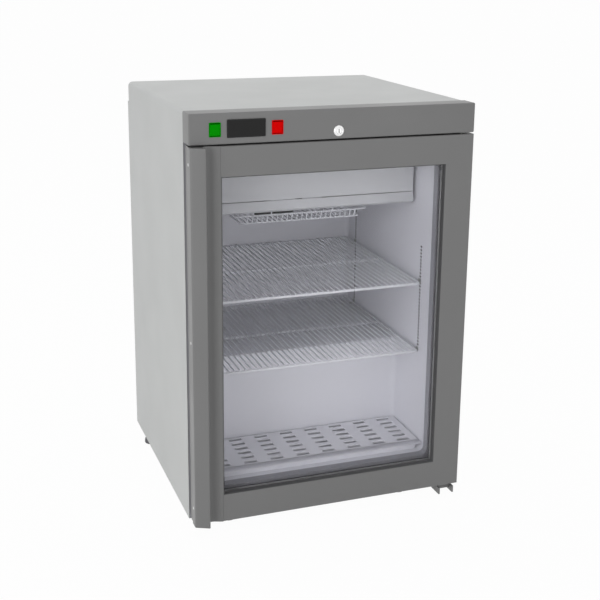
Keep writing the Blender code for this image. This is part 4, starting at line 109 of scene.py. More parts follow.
def tinted(name, patch, dark, light, roughness, roughest=None, metallic=0.0, specular=0.5, detail=3.0):
    """A new material whose colour drifts between two tones, in patches of a real size.

    Where roughest is given, the same drift runs the roughness up to it.
    """
    material, tree, shader, place = blank(name)
    drift = add(tree, "TexNoise", {"Scale": 1 / patch, "Detail": detail}, {"Vector": place})
    tones = add(tree, "Mix", {6: linear(dark), 7: linear(light)}, {0: drift.outputs[0]}, data_type="RGBA")
    tree.links.new(tones.outputs[2], shader.inputs["Base Color"])
    for key, value in (("Roughness", roughness), ("Metallic", metallic), ("Specular IOR Level", specular)):
        shader.inputs[key].default_value = value
    if roughest is not None:
        roughen(tree, shader, drift.outputs[0], roughness, roughest)
    return material, tree, shader, place


def powder_coat(name, dark, light, roughness, peel):
    """Baked paint on metal: an even colour over a faint orange peel, whose ripples lie peel apart.

    Handling leaves it a little shinier or duller in patches.
    """
    material, tree, shader, place = tinted(name, PAINT_PATCH, dark, light, roughness)
    handled = add(tree, "TexNoise", {"Scale": 1 / HANDLED_PATCH, "Detail": 4.0}, {"Vector": place})
    roughen(tree, shader, handled.outputs[0], roughness - 0.04, roughness + 0.05)
    relief(tree, shader, place, PEEL_HEIGHT, peel)
    return material


def loft(rows, tube=False, ring=False):
    """A skin through rows of points, all of one length, as (points, faces).

    In a tube each row closes on itself, and in a ring the last row joins the first.
    """
    rows = np.asarray(rows, float)
    count, width = rows.shape[:2]
    r = np.arange(count if ring else count - 1)[:, None]
    c = np.arange(width if tube else width - 1)[None, :]
    r2 = (r + 1) % count
    c2 = (c + 1) % width
    faces = np.stack([r * width + c, r * width + c2, r2 * width + c2, r2 * width + c], axis=-1)
    return rows.reshape(-1, 3), faces.reshape(-1, 4).tolist()


def joined(*shapes):
    """Several shapes of (points, faces) as one."""
    points = np.concatenate([shape_points for shape_points, _ in shapes])
    faces = []
    start = 0
    for shape_points, shape_faces in shapes:
        faces += [[i + start for i in face] for face in shape_faces]
        start += len(shape_points)
    return points, faces


def make(name, shape, material, rider, replaced=(), smooth=35.0, turned_out=True):
    """Makes one piece from (points, faces): doubles merged, normals turned out, and named to the frame."""
    points, faces = shape
    mesh = bpy.data.meshes.new(name)
    mesh.from_pydata(points.tolist(), [], faces)
    shell = bmesh.new()
    shell.from_mesh(mesh)
    bmesh.ops.remove_doubles(shell, verts=shell.verts, dist=0.000001)
    bmesh.ops.dissolve_degenerate(shell, edges=shell.edges, dist=0.000001)
    if turned_out:
        bmesh.ops.recalc_face_normals(shell, faces=shell.faces)
    shell.to_mesh(mesh)
    shell.free()
    mesh.shade_smooth()
    mesh.set_sharp_from_angle(angle=math.radians(smooth))
    sides = np.empty(len(mesh.loops), np.int32)
    mesh.loops.foreach_get("edge_index", sides)
    sharp = np.empty(len(mesh.edges), bool)
    mesh.edges.foreach_get("use_edge_sharp", sharp)
    mesh.edges.foreach_set("use_edge_sharp", sharp | (np.bincount(sides, minlength=len(sharp)) == 1))
    mesh.materials.append(material)
    piece = bpy.data.objects.new(name, mesh)
    bpy.context.scene.collection.objects.link(piece)
    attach(piece, rider)
    if replaced:
        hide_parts(*replaced)
    return piece


def thicken(piece, sheet, offset, edge=0.0):
    """Gives a sheet its wall, and then rounds its cut edges to the radius edge."""
    wall = piece.modifiers.new("sheet", "SOLIDIFY")
    wall.thickness = sheet
    wall.offset = offset
    wall.use_even_offset = True
    if edge:
        rounding = piece.modifiers.new("soft edges", "BEVEL")
        rounding.width = edge
        rounding.segments = 2
        rounding.angle_limit = math.radians(40)


def arc(centre, radius, start, end, steps):
    """Points on a circle from start to end degrees."""
    angles = np.radians(np.linspace(start, end, steps + 1))
    return np.asarray(centre) + radius * np.column_stack([np.cos(angles), np.sin(angles)])


# Coil-coated paint: smooth and pale, with a soft sheen that blurs what it mirrors.
cabinet_paint = powder_coat("pre-painted steel, light grey", "#C2C4C3", "#C6C8C7", 0.42, WRAP_PEEL)
wrap_low, wrap_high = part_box("outer_wrap")
left_x, front_y, wrap_bottom = wrap_low
right_x, side_back_y, top_z = wrap_high
top_back_y = side_back_y - WRAP_STEP_DEPTH
step_z = top_z - WRAP_STEP_HEIGHT
bend_left = arc((left_x + WRAP_BEND, top_z - WRAP_BEND), WRAP_BEND, 180, 90, BEND_STEPS)
bend_right = arc((right_x - WRAP_BEND, top_z - WRAP_BEND), WRAP_BEND, 90, 0, BEND_STEPS)
arch = np.concatenate([[(left_x, wrap_bottom), (left_x, step_z)], bend_left, bend_right,
                       [(right_x, step_z), (right_x, wrap_bottom)]])
skin = loft([[(x, y, z) for x, z in arch] for y in (front_y, top_back_y)])
wings = [loft([[(x, y, z) for z in (wrap_bottom, step_z)] for y in (top_back_y, side_back_y)])
         for x in (left_x, right_x)]
wrap = make("cabinet_skin", joined(skin, *wings), cabinet_paint, "cabinet",
            ["outer_wrap"], 60.0)
thicken(wrap, WRAP_SHEET, -1.0, WRAP_EDGE)


# Liner
# The food compartment is one vacuum-formed shell of white polystyrene, with a raised step over the
# compressor. Its corners are drawn to a 14 mm radius, and four columns of holes take the shelf clips.
LINER_WALL = 0.0015
LINER_CORNER = 0.014
LINER_RIM = 0.0012
LINER_STEP_DEPTH = 0.230
LINER_STEP_NOSE = 0.003
LINER_STEP_HEIGHT = 0.214
HOLE_SIZE = (0.0085, 0.0038)
HOLE_CORNER = 0.0014
HOLE_PITCH = 0.0075
HOLE_BOTTOM_RISE = 0.0145
HOLES_IN_COLUMN = 31
FRONT_HOLES_DEPTH = 0.112
REAR_HOLES_DEPTH = 0.480
CORNER_STEPS = 6
CORNER_POINTS = CORNER_STEPS + 1
LINER_WAVE = 1 / 180


def outline(corners, inset, radii, steps):
    """A closed outline, moved in by inset, with each corner a curve about a fixed centre.

    A corner's radius shrinks by the inset, or grows by it where the outline turns the other way. Each
    corner has steps + 1 points.
    """
    corners = np.asarray(corners, float)
    before = corners - np.roll(corners, 1, axis=0)
    after = np.roll(corners, -1, axis=0) - corners
    before /= np.linalg.norm(before, axis=1)[:, None]
    after /= np.linalg.norm(after, axis=1)[:, None]
    turn = np.arctan2(before[:, 0] * after[:, 1] - before[:, 1] * after[:, 0], (before * after).sum(axis=1))
    n_before = np.column_stack([-before[:, 1], before[:, 0]])
    n_after = np.column_stack([-after[:, 1], after[:, 0]])
    mitre = (n_before + n_after) / (1 + (n_before * n_after).sum(axis=1))[:, None]
    side = np.sign(turn)
    radii = np.broadcast_to(radii, side.shape)
    reach = np.maximum(radii - side * inset, 0)
    moved = corners + mitre * inset
    centre = moved + mitre * (side * reach)[:, None]
    t = np.linspace(0, 1, steps + 1)[None, :, None]
    start = -n_before * side[:, None]
    angle = np.arctan2(start[:, 1], start[:, 0])[:, None] + turn[:, None] * t[:, :, 0]
    spoke = np.stack([np.cos(angle), np.sin(angle)], axis=-1)
    return (centre[:, None] + spoke * reach[:, None, None]).reshape(-1, 2)


def box_outline(x0, x1, z0, z1):
    """The four corners of a rectangle, counter-clockwise."""
    return np.array([(x0, z0), (x1, z0), (x1, z1), (x0, z1)])


def rectangle(centre, width, height):
    """The four corners of a rectangle round centre."""
    x, z = centre
    return box_outline(x - width / 2, x + width / 2, z - height / 2, z + height / 2)


def square_to(axis, flat, place):
    """Flat points set in space: square to the axis "x", "y" or "z", at a place along it."""
    return np.insert(np.asarray(flat, float), "xyz".index(axis), place, axis=1)


def plate(axis, place, edge, holes=()):
    """A flat sheet with holes, cut into triangles and set square to an axis."""
    edge = edge[np.linalg.norm(edge - np.roll(edge, 1, axis=0), axis=1) > 0.0000001]
    loops = [edge, *holes]
    points = np.concatenate(loops)
    ends = np.cumsum([0] + [len(loop) for loop in loops])
    regions = [list(range(a, b)) for a, b in zip(ends, ends[1:])]
    spots, _, faces, _, _, sources = delaunay_2d_cdt([tuple(p) for p in points], [], regions, 1, 0.0000001)
    kept = [list(face) for face, source in zip(faces, sources) if source == [0]]
    return square_to(axis, [tuple(spot) for spot in spots], place), kept


def drawn_rows(profile, radii, half_width, radius, steps, bend_steps=CORNER_STEPS, flat=0.0):
    """Outlines across a shell along X, drawn in round both ends to radius and then by a flat rim."""
    turn = np.radians(np.linspace(0, 90, steps + 1))
    reach = half_width - radius + radius * np.sin(turn)
    inward = radius * (1 - np.cos(turn))
    if flat:
        reach = np.append(reach, reach[-1])
        inward = np.append(inward, inward[-1] + flat)
    right = [square_to("x", outline(profile, inset, radii, bend_steps), x) for x, inset in zip(reach, inward)]
    return [row * (-1, 1, 1) for row in right[::-1]] + right


def end_plates(rows, holes=()):
    """The flat sheets across a shell's first and last rows, with the same holes in both."""
    return [plate("x", row[0, 0], row[:, 1:], holes) for row in (rows[0], rows[-1])]


liner_low, liner_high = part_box("inner_liner")
face_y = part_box("control_fascia")[0][1]
mouth_y = liner_low[1]
cavity_half = liner_high[0] - LINER_WALL
cavity_floor = liner_low[2] + LINER_WALL
cavity_top = liner_high[2] - LINER_WALL
cavity_back = liner_high[1] - LINER_WALL
step_y = face_y + LINER_STEP_DEPTH
step_top = cavity_floor + LINER_STEP_HEIGHT
side_view = [(mouth_y, cavity_floor), (step_y, cavity_floor), (step_y, step_top),
             (cavity_back, step_top), (cavity_back, cavity_top), (mouth_y, cavity_top)]
side_radii = [0, LINER_CORNER, LINER_STEP_NOSE, LINER_CORNER, LINER_CORNER, 0]
first_hole_z = step_top + HOLE_BOTTOM_RISE + HOLE_PITCH
hole_heights = first_hole_z + HOLE_PITCH * np.arange(HOLES_IN_COLUMN)
hole_columns = (face_y + FRONT_HOLES_DEPTH, face_y + REAR_HOLES_DEPTH)
holes = [outline(rectangle((y, z), *HOLE_SIZE), 0, HOLE_CORNER, 3)
         for y in hole_columns for z in hole_heights]
liner_rows = drawn_rows(side_view, side_radii, cavity_half, LINER_CORNER, 6, flat=LINER_RIM)
for row in liner_rows:
    row[:CORNER_POINTS, 1] = mouth_y
    row[-CORNER_POINTS:, 1] = mouth_y
# Vacuum-formed sheet: glossy but soft, with faint waves where it was stretched, 5.6 mm apart.
liner_plastic, *surface = tinted("vacuum-formed white polystyrene", 0.25, "#EAEAEF", "#EEEEF3", 0.32, 0.42,
                                 detail=2.0)
relief(*surface, 0.00004, LINER_WAVE)
liner = make("moulded_liner", joined(loft(liner_rows), *end_plates(liner_rows, holes)), liner_plastic,
             "cabinet", ["inner_liner"], 40.0)
thicken(liner, LINER_WALL, 1.0)


# Clip-hole shade
# Behind each column of holes lies a strip of near-black film, which bulges into each hole almost to
# the face of the wall. It is painted shade, so that the holes read as deep and dark.
SHADE_STRIP_WIDTH = 0.016
SHADE_STRIP_GAP = 0.0001
SHADE_SINK = 0.0003
SHADE_STRIP_OVERRUN = 0.008


def lid(rim):
    """One flat face across a rim of points."""
    return rim, [list(range(len(rim)))]


# Matt and nearly black: painted shade, so that the holes read as dark.
hole_shade_film, *_ = tinted("painted hole shade, near black", 0.02, "#19191D", "#202024", 0.7)
shade_strip_ends = (first_hole_z - SHADE_STRIP_OVERRUN, hole_heights[-1] + SHADE_STRIP_OVERRUN)
hole_shades = []
for side in (-1, 1):
    for y in hole_columns:
        strip = box_outline(y - SHADE_STRIP_WIDTH / 2, y + SHADE_STRIP_WIDTH / 2, *shade_strip_ends)
        hole_shades.append(lid(square_to("x", strip, side * (cavity_half + LINER_WALL + SHADE_STRIP_GAP))))
    hole_shades += [lid(square_to("x", hole, side * (cavity_half + SHADE_SINK))) for hole in holes]
make("painted_hole_shade", joined(*hole_shades), hole_shade_film, "cabinet", (), 35.0, False)


# Cabinet front and structure
# The mouth is a ring of coated steel that the gasket closes on. The foam, the galvanised pans and the
# back panel behind it keep their factory finishes.
GALVANISED_SPANGLE = 0.012
FOAM_CELL = 0.004


def dress(material, *names):
    """Gives CAD nodes that stay in view a finish in place of their packed one."""
    for name in names:
        nodes[name].data.materials.clear()
        nodes[name].data.materials.append(material)


# The mouth's coat is satin and darker than the liner, so that it frames the inside.
dress(powder_coat("coated steel mouth frame", "#9E9EA3", "#A6A6AB", 0.5, WRAP_PEEL), "front_frame")

# Hot-dip zinc: flat crystals, each of its own grey and shine.
galvanised, tree, shader, place = blank("galvanised steel")
cells = add(tree, "TexVoronoi", {"Scale": 1 / GALVANISED_SPANGLE}, {"Vector": place})
tones = add(tree, "Mix", {6: linear("#94979A"), 7: linear("#A6A9AB")}, {0: cells.outputs["Color"]},
            data_type="RGBA")
tree.links.new(tones.outputs[2], shader.inputs["Base Color"])
shader.inputs["Metallic"].default_value = 0.85
roughen(tree, shader, cells.outputs["Distance"], 0.36, 0.52)
dress(galvanised, "base_pan", "bay_floor", "back_panel", "evaporator_fan_motor", "condenser_fan_motor")

# Poured foam: dull and yellow, with round cells, drawn coarser than real ones to show at all.
foam, *surface = tinted("polyurethane foam", 0.03, "#CDBB86", "#E0D2A2", 0.95)
relief(*surface, 0.0006, FOAM_CELL, "Voronoi")
dress(foam, "insulation_foam")


# Rear cover
# The compressor bay is closed by a galvanised plate. Its louvres are lanced and pressed outwards in
# one stroke, so that each is a shallow hood that is open along its lower edge.
LOUVRE_ROWS = 8
LOUVRE_PITCH = 0.022
LOUVRE_HEIGHT = 0.008
LOUVRE_SIDE_GAP = 0.067
LOUVRE_MIDDLE_GAP = 0.046
LOUVRE_BULGE = 0.0055
PANEL_SHEET = 0.001
GLAND_INSET = 0.047
GLAND_RISE = 0.040
GLAND_HOLE = 0.0085
SCREW_RADIUS = 0.004
SCREW_HEAD = 0.0022
SCREW_PROFILE = ((0, 1), (0.45, 1), (0.8, 0.8), (1, 0.3), (1, 0), (0, 0))
SCREW_INSET = 0.012
SCREWS_ACROSS = 4

cover_low, cover_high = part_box("rear_cover")
louvre_length = right_x - LOUVRE_SIDE_GAP - LOUVRE_MIDDLE_GAP / 2
louvre_middle = (cover_low[2] + cover_high[2]) / 2
louvre_rows = louvre_middle + LOUVRE_PITCH * (np.arange(LOUVRE_ROWS) - (LOUVRE_ROWS - 1) / 2)
louvre_places = [(side * (LOUVRE_MIDDLE_GAP + louvre_length) / 2, z) for side in (-1, 1) for z in louvre_rows]


def front_view(low, high, grow=0.0):
    """The rectangle that a box fills from the front, grown on all four sides."""
    return box_outline(low[0] - grow, high[0] + grow, low[2] - grow, high[2] + grow)


def circle(centre, radius, sides):
    """A regular outline round centre."""
    return arc(centre, radius, 0, 360, sides)[:-1]


def hood(x, z):
    """A pressed louvre, u along it and v up it: it stands out by bulge * sqrt(1 - v^2) * (1 - |u|^10)."""
    u, v = np.meshgrid(np.linspace(-1, 1, 21), np.linspace(0, 1, 6))
    rise = np.sqrt(1 - v ** 2) * (1 - np.abs(u) ** 10)
    y = cover_high[1] + LOUVRE_BULGE * rise
    return loft(np.stack([x + u * louvre_length / 2, y, z + (v - 0.5) * LOUVRE_HEIGHT], axis=-1))


def revolved(profile, centre, axis, sides, flutes=0.0, count=0):
    """A profile of (radius, place along axis) turned about the axis line through centre.

    Flutes is how far, as a share of the radius, the outline is drawn in and out count times round.
    """
    profile = np.asarray(profile, float)
    angle = 2 * np.pi * np.arange(sides) / sides
    radius = profile[:, :1] * (1 + flutes * np.cos(count * angle))
    a = centre[0] + radius * np.cos(angle)
    b = centre[1] + radius * np.sin(angle)
    along = np.broadcast_to(profile[:, 1:], a.shape)
    order = {"x": (along, a, b), "y": (a, along, b), "z": (a, b, along)}[axis]
    return loft(np.stack(order, axis=-1), tube=True)


windows = [rectangle(spot, louvre_length, LOUVRE_HEIGHT) for spot in louvre_places]
windows.append(circle((right_x - GLAND_INSET, cover_low[2] + GLAND_RISE), GLAND_HOLE, 24))
cover_sheet = plate("y", cover_high[1], front_view(cover_low, cover_high), windows)
rear = make("louvred_cover", joined(cover_sheet, *[hood(x, z) for x, z in louvre_places]), galvanised,
            "cabinet", ["rear_cover"], 50.0)
thicken(rear, PANEL_SHEET, 0.0)

screw = np.array(SCREW_PROFILE) * (SCREW_RADIUS, SCREW_HEAD) + (0, cover_high[1])
screw_xs = np.linspace(cover_low[0] + SCREW_INSET, cover_high[0] - SCREW_INSET, SCREWS_ACROSS)
screw_zs = (cover_low[2] + SCREW_INSET, cover_high[2] - SCREW_INSET / 2,
            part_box("back_panel")[1][2] - SCREW_INSET * 2)
screws = [revolved(screw, (x, z), "y", 12) for x in screw_xs for z in screw_zs]
# Electroplated zinc: brighter and more even than hot-dip.
zinc, *_ = tinted("zinc-plated steel", 0.01, "#B4B5B2", "#C8C8C4", 0.3, 0.45, 0.9)
make("panel_screws", joined(*screws), zinc, "cabinet")
dress(zinc, "lower_hinge_pin", "upper_hinge_pin", "upper_hinge_bracket", "lock_cam")


# Feet
# Each foot is a moulded nylon dome with a fluted rim to turn it by. Its zinc-plated stud screws up
# into the base.
FOOT_RADIUS = 0.0175
FOOT_SOLE_ROUND = 0.0012
FOOT_SOLE_RISE = 0.001
FOOT_DOME_START = 0.004
FOOT_COLLAR = 0.003
FOOT_NECK = 0.009
FOOT_GAP = 0.0003
FOOT_FLUTES = 18
FOOT_FLUTE_SHARE = 0.012
FOOT_STUD = 0.004
THREAD_PITCH = 0.00125
THREAD_ROOT_SHARE = 0.86
STUD_END_SHARE = 0.8

# Moulded nylon: dark grey and dull, a little mottled by wear.
foot_plastic, *_ = tinted("moulded dark nylon", 0.01, "#5A5A5E", "#66666A", 0.5, 0.65)
for foot in ("foot_front_left", "foot_front_right", "foot_rear_left", "foot_rear_right"):
    foot_low, foot_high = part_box(foot)
    centre = ((foot_low[0] + foot_high[0]) / 2, (foot_low[1] + foot_high[1]) / 2)
    pad_top = wrap_bottom - FOOT_GAP
    dome = [(FOOT_NECK + (FOOT_RADIUS - FOOT_NECK) * math.cos(a),
             FOOT_DOME_START + (pad_top - FOOT_COLLAR - FOOT_DOME_START) * math.sin(a))
            for a in np.radians(np.linspace(0, 90, 7))]
    pad = [(0, 0), (FOOT_RADIUS - FOOT_SOLE_ROUND, 0), (FOOT_RADIUS, FOOT_SOLE_RISE), *dome,
           (FOOT_NECK, pad_top), (0, pad_top)]
    make(foot + "_pad", revolved(pad, centre, "z", 72, FOOT_FLUTE_SHARE, FOOT_FLUTES), foot_plastic, foot,
         [foot])
    threads = np.arange(pad_top, foot_high[2] - THREAD_PITCH, THREAD_PITCH / 2)
    stud = [(0, pad_top)]
    stud += [(FOOT_STUD * (1 if k % 2 else THREAD_ROOT_SHARE), z) for k, z in enumerate(threads)]
    stud += [(FOOT_STUD * STUD_END_SHARE, foot_high[2]), (0, foot_high[2])]
    make(foot + "_stud", revolved(stud, centre, "z", 20), zinc, foot)


# Control fascia
# The strip over the door is a shallow tray of painted steel, its top, ends and underside folded back
# to a tight radius. It is punched for the switches, the controller and the lock, and its underside is
# notched where the lock's cam swings down into the door.
FASCIA_BEND = 0.0025
FASCIA_SHEET = 0.001
FASCIA_LIP = 0.036
CUTOUT_CLEARANCE = 0.0003
CUTOUT_CORNER = 0.0015
FLANGE_RIM = 0.0007
LOCK_HOLE = 0.0093
CAM_NOTCH = (-0.0075, 0.0239)
CAM_NOTCH_FRONT = 0.0193
CAM_NOTCH_EDGE = 0.0001
DOOR_PEEL = 0.0018

fascia_low, fascia_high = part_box("control_fascia")
flat = front_view(fascia_low, fascia_high, -FASCIA_BEND)
cutouts = [outline(front_view(*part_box(name)), FLANGE_RIM - CUTOUT_CLEARANCE, CUTOUT_CORNER, 4)
           for name in ("green_switch_body", "red_switch_body")]
cutouts.append(front_view(*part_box("controller_body"), CUTOUT_CLEARANCE))
barrel_low, barrel_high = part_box("lock_barrel")
lock_x = (barrel_low[0] + barrel_high[0]) / 2
lock_z = (barrel_low[2] + barrel_high[2]) / 2
cutouts.append(circle((lock_x, lock_z), LOCK_HOLE, 24))
notch_x = lock_x + np.repeat(CAM_NOTCH, 2) + (0, CAM_NOTCH_EDGE, -CAM_NOTCH_EDGE, 0)
notch = np.column_stack([notch_x, np.full(4, flat[0, 1])])
fascia_front = plate("y", face_y, np.insert(flat, 1, notch, axis=0), cutouts)
fold_rows = []
for angle in np.radians(np.linspace(0, 90, 7)):
    grown = FASCIA_BEND * math.sin(angle)
    edge = np.insert(outline(flat, -grown, 0, CORNER_STEPS), CORNER_POINTS, notch - (0, grown), axis=0)
    fold_rows.append(square_to("y", edge, face_y + FASCIA_BEND * (1 - math.cos(angle))))
deep = fold_rows[-1].copy()
deep[:, 1] = np.where(deep[:, 2] < fascia_low[2] + FASCIA_BEND / 2, face_y + FASCIA_LIP, fascia_high[1])
deep[CORNER_POINTS + 1:CORNER_POINTS + 3, 1] = face_y + CAM_NOTCH_FRONT
fascia_folds = loft([*fold_rows, deep], tube=True)
# Powder coat: an even mid grey with a satin sheen and a fine orange peel.
door_paint = powder_coat("powder-coated steel, mid grey", "#7D7D7D", "#818181", 0.40, DOOR_PEEL)
fascia = make("fascia_tray", joined(fascia_front, fascia_folds), door_paint, "cabinet",
              ["control_fascia"], 40.0)
thicken(fascia, FASCIA_SHEET, -1.0)


# Rocker switches
# Each switch is a black nylon housing snapped into the fascia, with a tinted polycarbonate rocker
# moulded in two gentle slopes that meet at its middle.
ROCKER_WIDTH = 0.0192
ROCKER_HALF_HEIGHT = 0.0112
ROCKER_ROOT_SHARE = 0.9
ROCKER_REACH = 0.0030
ROCKER_VALLEY = 0.0014
ROCKER_DEPTH = 0.0070
ROCKER_RADII = (0.001, 0.001, 0.0012, 0.03, 0.0012)
ROCKER_EDGE = 0.0008
ROCKER_PIVOT_DEPTH = 0.0010
ROCKER_TILT = 6.0
BEZEL_CORNER = 0.0016
BEZEL = ((0, -0.0003), (0, -0.0009), (0.0003, -0.0012), (0.0012, -0.0012), (0.0015, -0.0009),
         (0.0015, 0.0002))
HOUSING = ((0.0015, 0.0002), (0.0015, 0.0155), (0.0007, 0.0155), (0.0007, -0.0003))
HOUSING_FLOOR = 0.0145
LENS_RIB = 1 / 300
NYLON_GRAIN = 0.0004


def front_rows(edge, profile, radius, steps):
    """Outlines that face the front, each moved in by the inset and set at the Y that profile gives."""
    return [square_to("y", outline(edge, inset, radius, steps), y) for inset, y in profile]


def ring_shape(rows):
    """A closed ring lofted through closed outlines, the last joined to the first."""
    return loft(rows, tube=True, ring=True)


def capped(rows):
    """A solid bar along X, lofted through closed outlines between flat ends."""
    return joined(loft(rows, tube=True), *end_plates(rows))


# Black nylon: a dull sheen broken up by a spark-eroded grain, 0.4 mm apart.
black_nylon, *surface = tinted("moulded black nylon", 0.006, "#151516", "#1C1C1D", 0.42, 0.55, specular=0.3)
relief(*surface, 0.00002, NYLON_GRAIN, values={"Detail": 1.0})
reach = ROCKER_REACH + ROCKER_PIVOT_DEPTH
rocker_side = [(ROCKER_DEPTH, -ROCKER_HALF_HEIGHT * ROCKER_ROOT_SHARE),
               (ROCKER_DEPTH, ROCKER_HALF_HEIGHT * ROCKER_ROOT_SHARE),
               (-reach, ROCKER_HALF_HEIGHT), (-reach + ROCKER_VALLEY, 0), (-reach, -ROCKER_HALF_HEIGHT)]
tilt = math.radians(ROCKER_TILT)
swing = np.array([[math.cos(tilt), math.sin(tilt)], [-math.sin(tilt), math.cos(tilt)]])
for shade, dark, light in (("green", "#009A00", "#00A300"), ("red", "#E60000", "#F20000")):
    # Tinted polycarbonate: a deep even colour that looks lit from within, over fine moulded ribs.
    finish, *surface = tinted(shade + " tinted polycarbonate", 0.008, dark, light, 0.4, specular=0.04)
    relief(*surface, 0.00002, LENS_RIB, "Wave", {"Distortion": 0.0}, bands_direction="Z")
    low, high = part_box(shade + "_switch_body")
    case = front_view(low, high)
    bezel, housing = [ring_shape(front_rows(case, np.add(profile, (0, face_y)), BEZEL_CORNER, 4))
                      for profile in (BEZEL, HOUSING)]
    make(shade + "_switch_bezel", bezel, finish, "cabinet")
    housing_floor = plate("y", face_y + HOUSING_FLOOR, outline(case, BEZEL[-1][0], BEZEL_CORNER, 4))
    make(shade + "_switch_housing", joined(housing, housing_floor), black_nylon, "cabinet",
         [shade + "_switch_body"])
    rows = drawn_rows(rocker_side, ROCKER_RADII, ROCKER_WIDTH / 2, ROCKER_EDGE, 4)
    for row in rows:
        row[:, 1:] = row[:, 1:] @ swing + (face_y + ROCKER_PIVOT_DEPTH, (low[2] + high[2]) / 2)
        row[:, 0] += (low[0] + high[0]) / 2
    make(shade + "_rocker_lens", capped(rows), finish, shade + "_rocker",
         [shade + "_rocker"])
dress(black_nylon, "controller_body")


# Temperature display
# The controller shows through a smoked acrylic window. A slim matt frame of moulded nylon lies round
# it on the fascia.
DISPLAY_FRAME = 0.0022
DISPLAY_CORNER = 0.0015
DISPLAY_INNER_CORNER = 0.0026
DISPLAY_CHAMFER = 0.0004
LENS_SETBACK = 0.0004

low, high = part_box("display_window")
window = front_view(low, high)
outer_side = ((0, high[1]), (0, low[1] + DISPLAY_CHAMFER), (DISPLAY_CHAMFER, low[1]))
inner_side = ((DISPLAY_FRAME, low[1]), (DISPLAY_FRAME, high[1]))
frame_rows = (front_rows(window, outer_side, DISPLAY_CORNER, 5)
              + front_rows(window, inner_side, DISPLAY_INNER_CORNER, 5))
make("display_frame", ring_shape(frame_rows), black_nylon, "cabinet", ["display_window"])
# Smoked acrylic: nearly black and smooth, with only a weak mirror image.
acrylic, *_ = tinted("smoked acrylic", 0.03, "#0B0B0B", "#101010", 0.14, specular=0.2)
pane = plate("y", low[1] + LENS_SETBACK, outline(window, DISPLAY_FRAME, DISPLAY_INNER_CORNER, 5))
make("display_lens", pane, acrylic, "cabinet", (), 35.0, False)


# Lock
# A cam lock: a nickel-plated barrel with a domed flange, and a plug with a keyway that turns in it.
# The plug's cam swings down into the top of the door.
LOCK_HEAD_RADIUS = 0.0110
LOCK_HEAD = 0.0025
LOCK_HEAD_ROUND = 0.0030
LOCK_BODY_RADIUS = 0.0090
LOCK_PLUG_RADIUS = 0.0062
LOCK_PLUG_GAP = 0.0002
LOCK_CHAMFER = 0.0004
KEYWAY = (0.0018, 0.0076)
KEYWAY_DEPTH = 0.008

# Satin nickel plate: pale, with a soft blurred shine.
plated, *_ = tinted("nickel-plated zinc, satin", 0.004, "#EDEDED", "#F6F6F6", 0.28, 0.38, 0.7)
lock_axis = (lock_x, lock_z)
head_front = barrel_low[1]
bore = LOCK_PLUG_RADIUS + LOCK_PLUG_GAP
head_back = head_front + LOCK_HEAD
dome = [(LOCK_HEAD_RADIUS + LOCK_HEAD_ROUND * (math.sin(a) - 1), head_back - LOCK_HEAD * math.cos(a))
        for a in np.radians(np.linspace(0, 90, 9))]
barrel = [(bore, barrel_high[1]), (bore, head_front + LOCK_CHAMFER), (bore + LOCK_CHAMFER, head_front), *dome,
          (LOCK_BODY_RADIUS, head_back), (LOCK_BODY_RADIUS, barrel_high[1]), (bore, barrel_high[1])]
make("lock_flange", revolved(barrel, lock_axis, "y", 64), plated, "cabinet", ["lock_barrel"])
plug_low, plug_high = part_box("lock_plug")
plug_front = plug_low[1]
key_slot = rectangle(lock_axis, *KEYWAY)
plug_face = plate("y", plug_front, circle(lock_axis, LOCK_PLUG_RADIUS - LOCK_CHAMFER, 48), [key_slot])
plug_side = [(LOCK_PLUG_RADIUS - LOCK_CHAMFER, plug_front), (LOCK_PLUG_RADIUS, plug_front + LOCK_CHAMFER),
             (LOCK_PLUG_RADIUS, plug_high[1])]
plug_ring = revolved(plug_side, lock_axis, "y", 48)
slot_rows = [square_to("y", key_slot, plug_front), square_to("y", key_slot, plug_front + KEYWAY_DEPTH)]
make("lock_plug_face", joined(plug_face, plug_ring, loft(slot_rows, tube=True), lid(slot_rows[1])), plated,
     "lock", ["lock_plug"])


# Lower hinge bracket
# A pressed steel channel under the door's corner, which holds the lower pin. It is painted with the
# door.
dress(door_paint, "lower_hinge_bracket")


# Door frame
# Four folded steel rails, mitred and painted, round a rebate that takes the glass. The frame turns
# on two pins in plastic bushes.
dress(door_paint, "door_frame")


# Handle
# One extruded section runs the whole height of the left stile: a flat base that falls into a finger
# valley, and a rounded ridge to pull on. White plugs cover its three fixing screws.
HANDLE_WIDTH = 0.0618
HANDLE_BASE_DEPTH = 0.0100
HANDLE_SIDE_DEPTH = 0.0140
HANDLE_SIDE_WALL = 0.0020
HANDLE_CORNER_RADIUS = 0.0045
HANDLE_CORNER_REACH = 0.0085
HANDLE_REACH = 0.0190
HANDLE_RIDGE_X = 0.0270
HANDLE_RIDGE_RADIUS = 0.0026
HANDLE_THROAT_X = 0.0262
HANDLE_VALLEY_DEPTH = 0.0060
HANDLE_VALLEY_X = 0.0390
PLUG_RADIUS = 0.0032
PLUG_PROUD = 0.0005
PLUG_MARGIN = 0.0001
PLUG_SEAT = 0.0005
PLUG_DEPTH = 0.0075
PLUG_DROPS = (0.097, 0.452, 0.808)


def curve(start, start_pull, end_pull, end, steps):
    """Points on the cubic Bezier curve (1-t)^3 A + 3t(1-t)^2 B + 3t^2(1-t) C + t^3 D, without its first."""
    t = np.linspace(0, 1, steps + 1)[1:, None]
    return ((1 - t) ** 3 * start + 3 * t * (1 - t) ** 2 * start_pull + 3 * t ** 2 * (1 - t) * end_pull
            + t ** 3 * end)


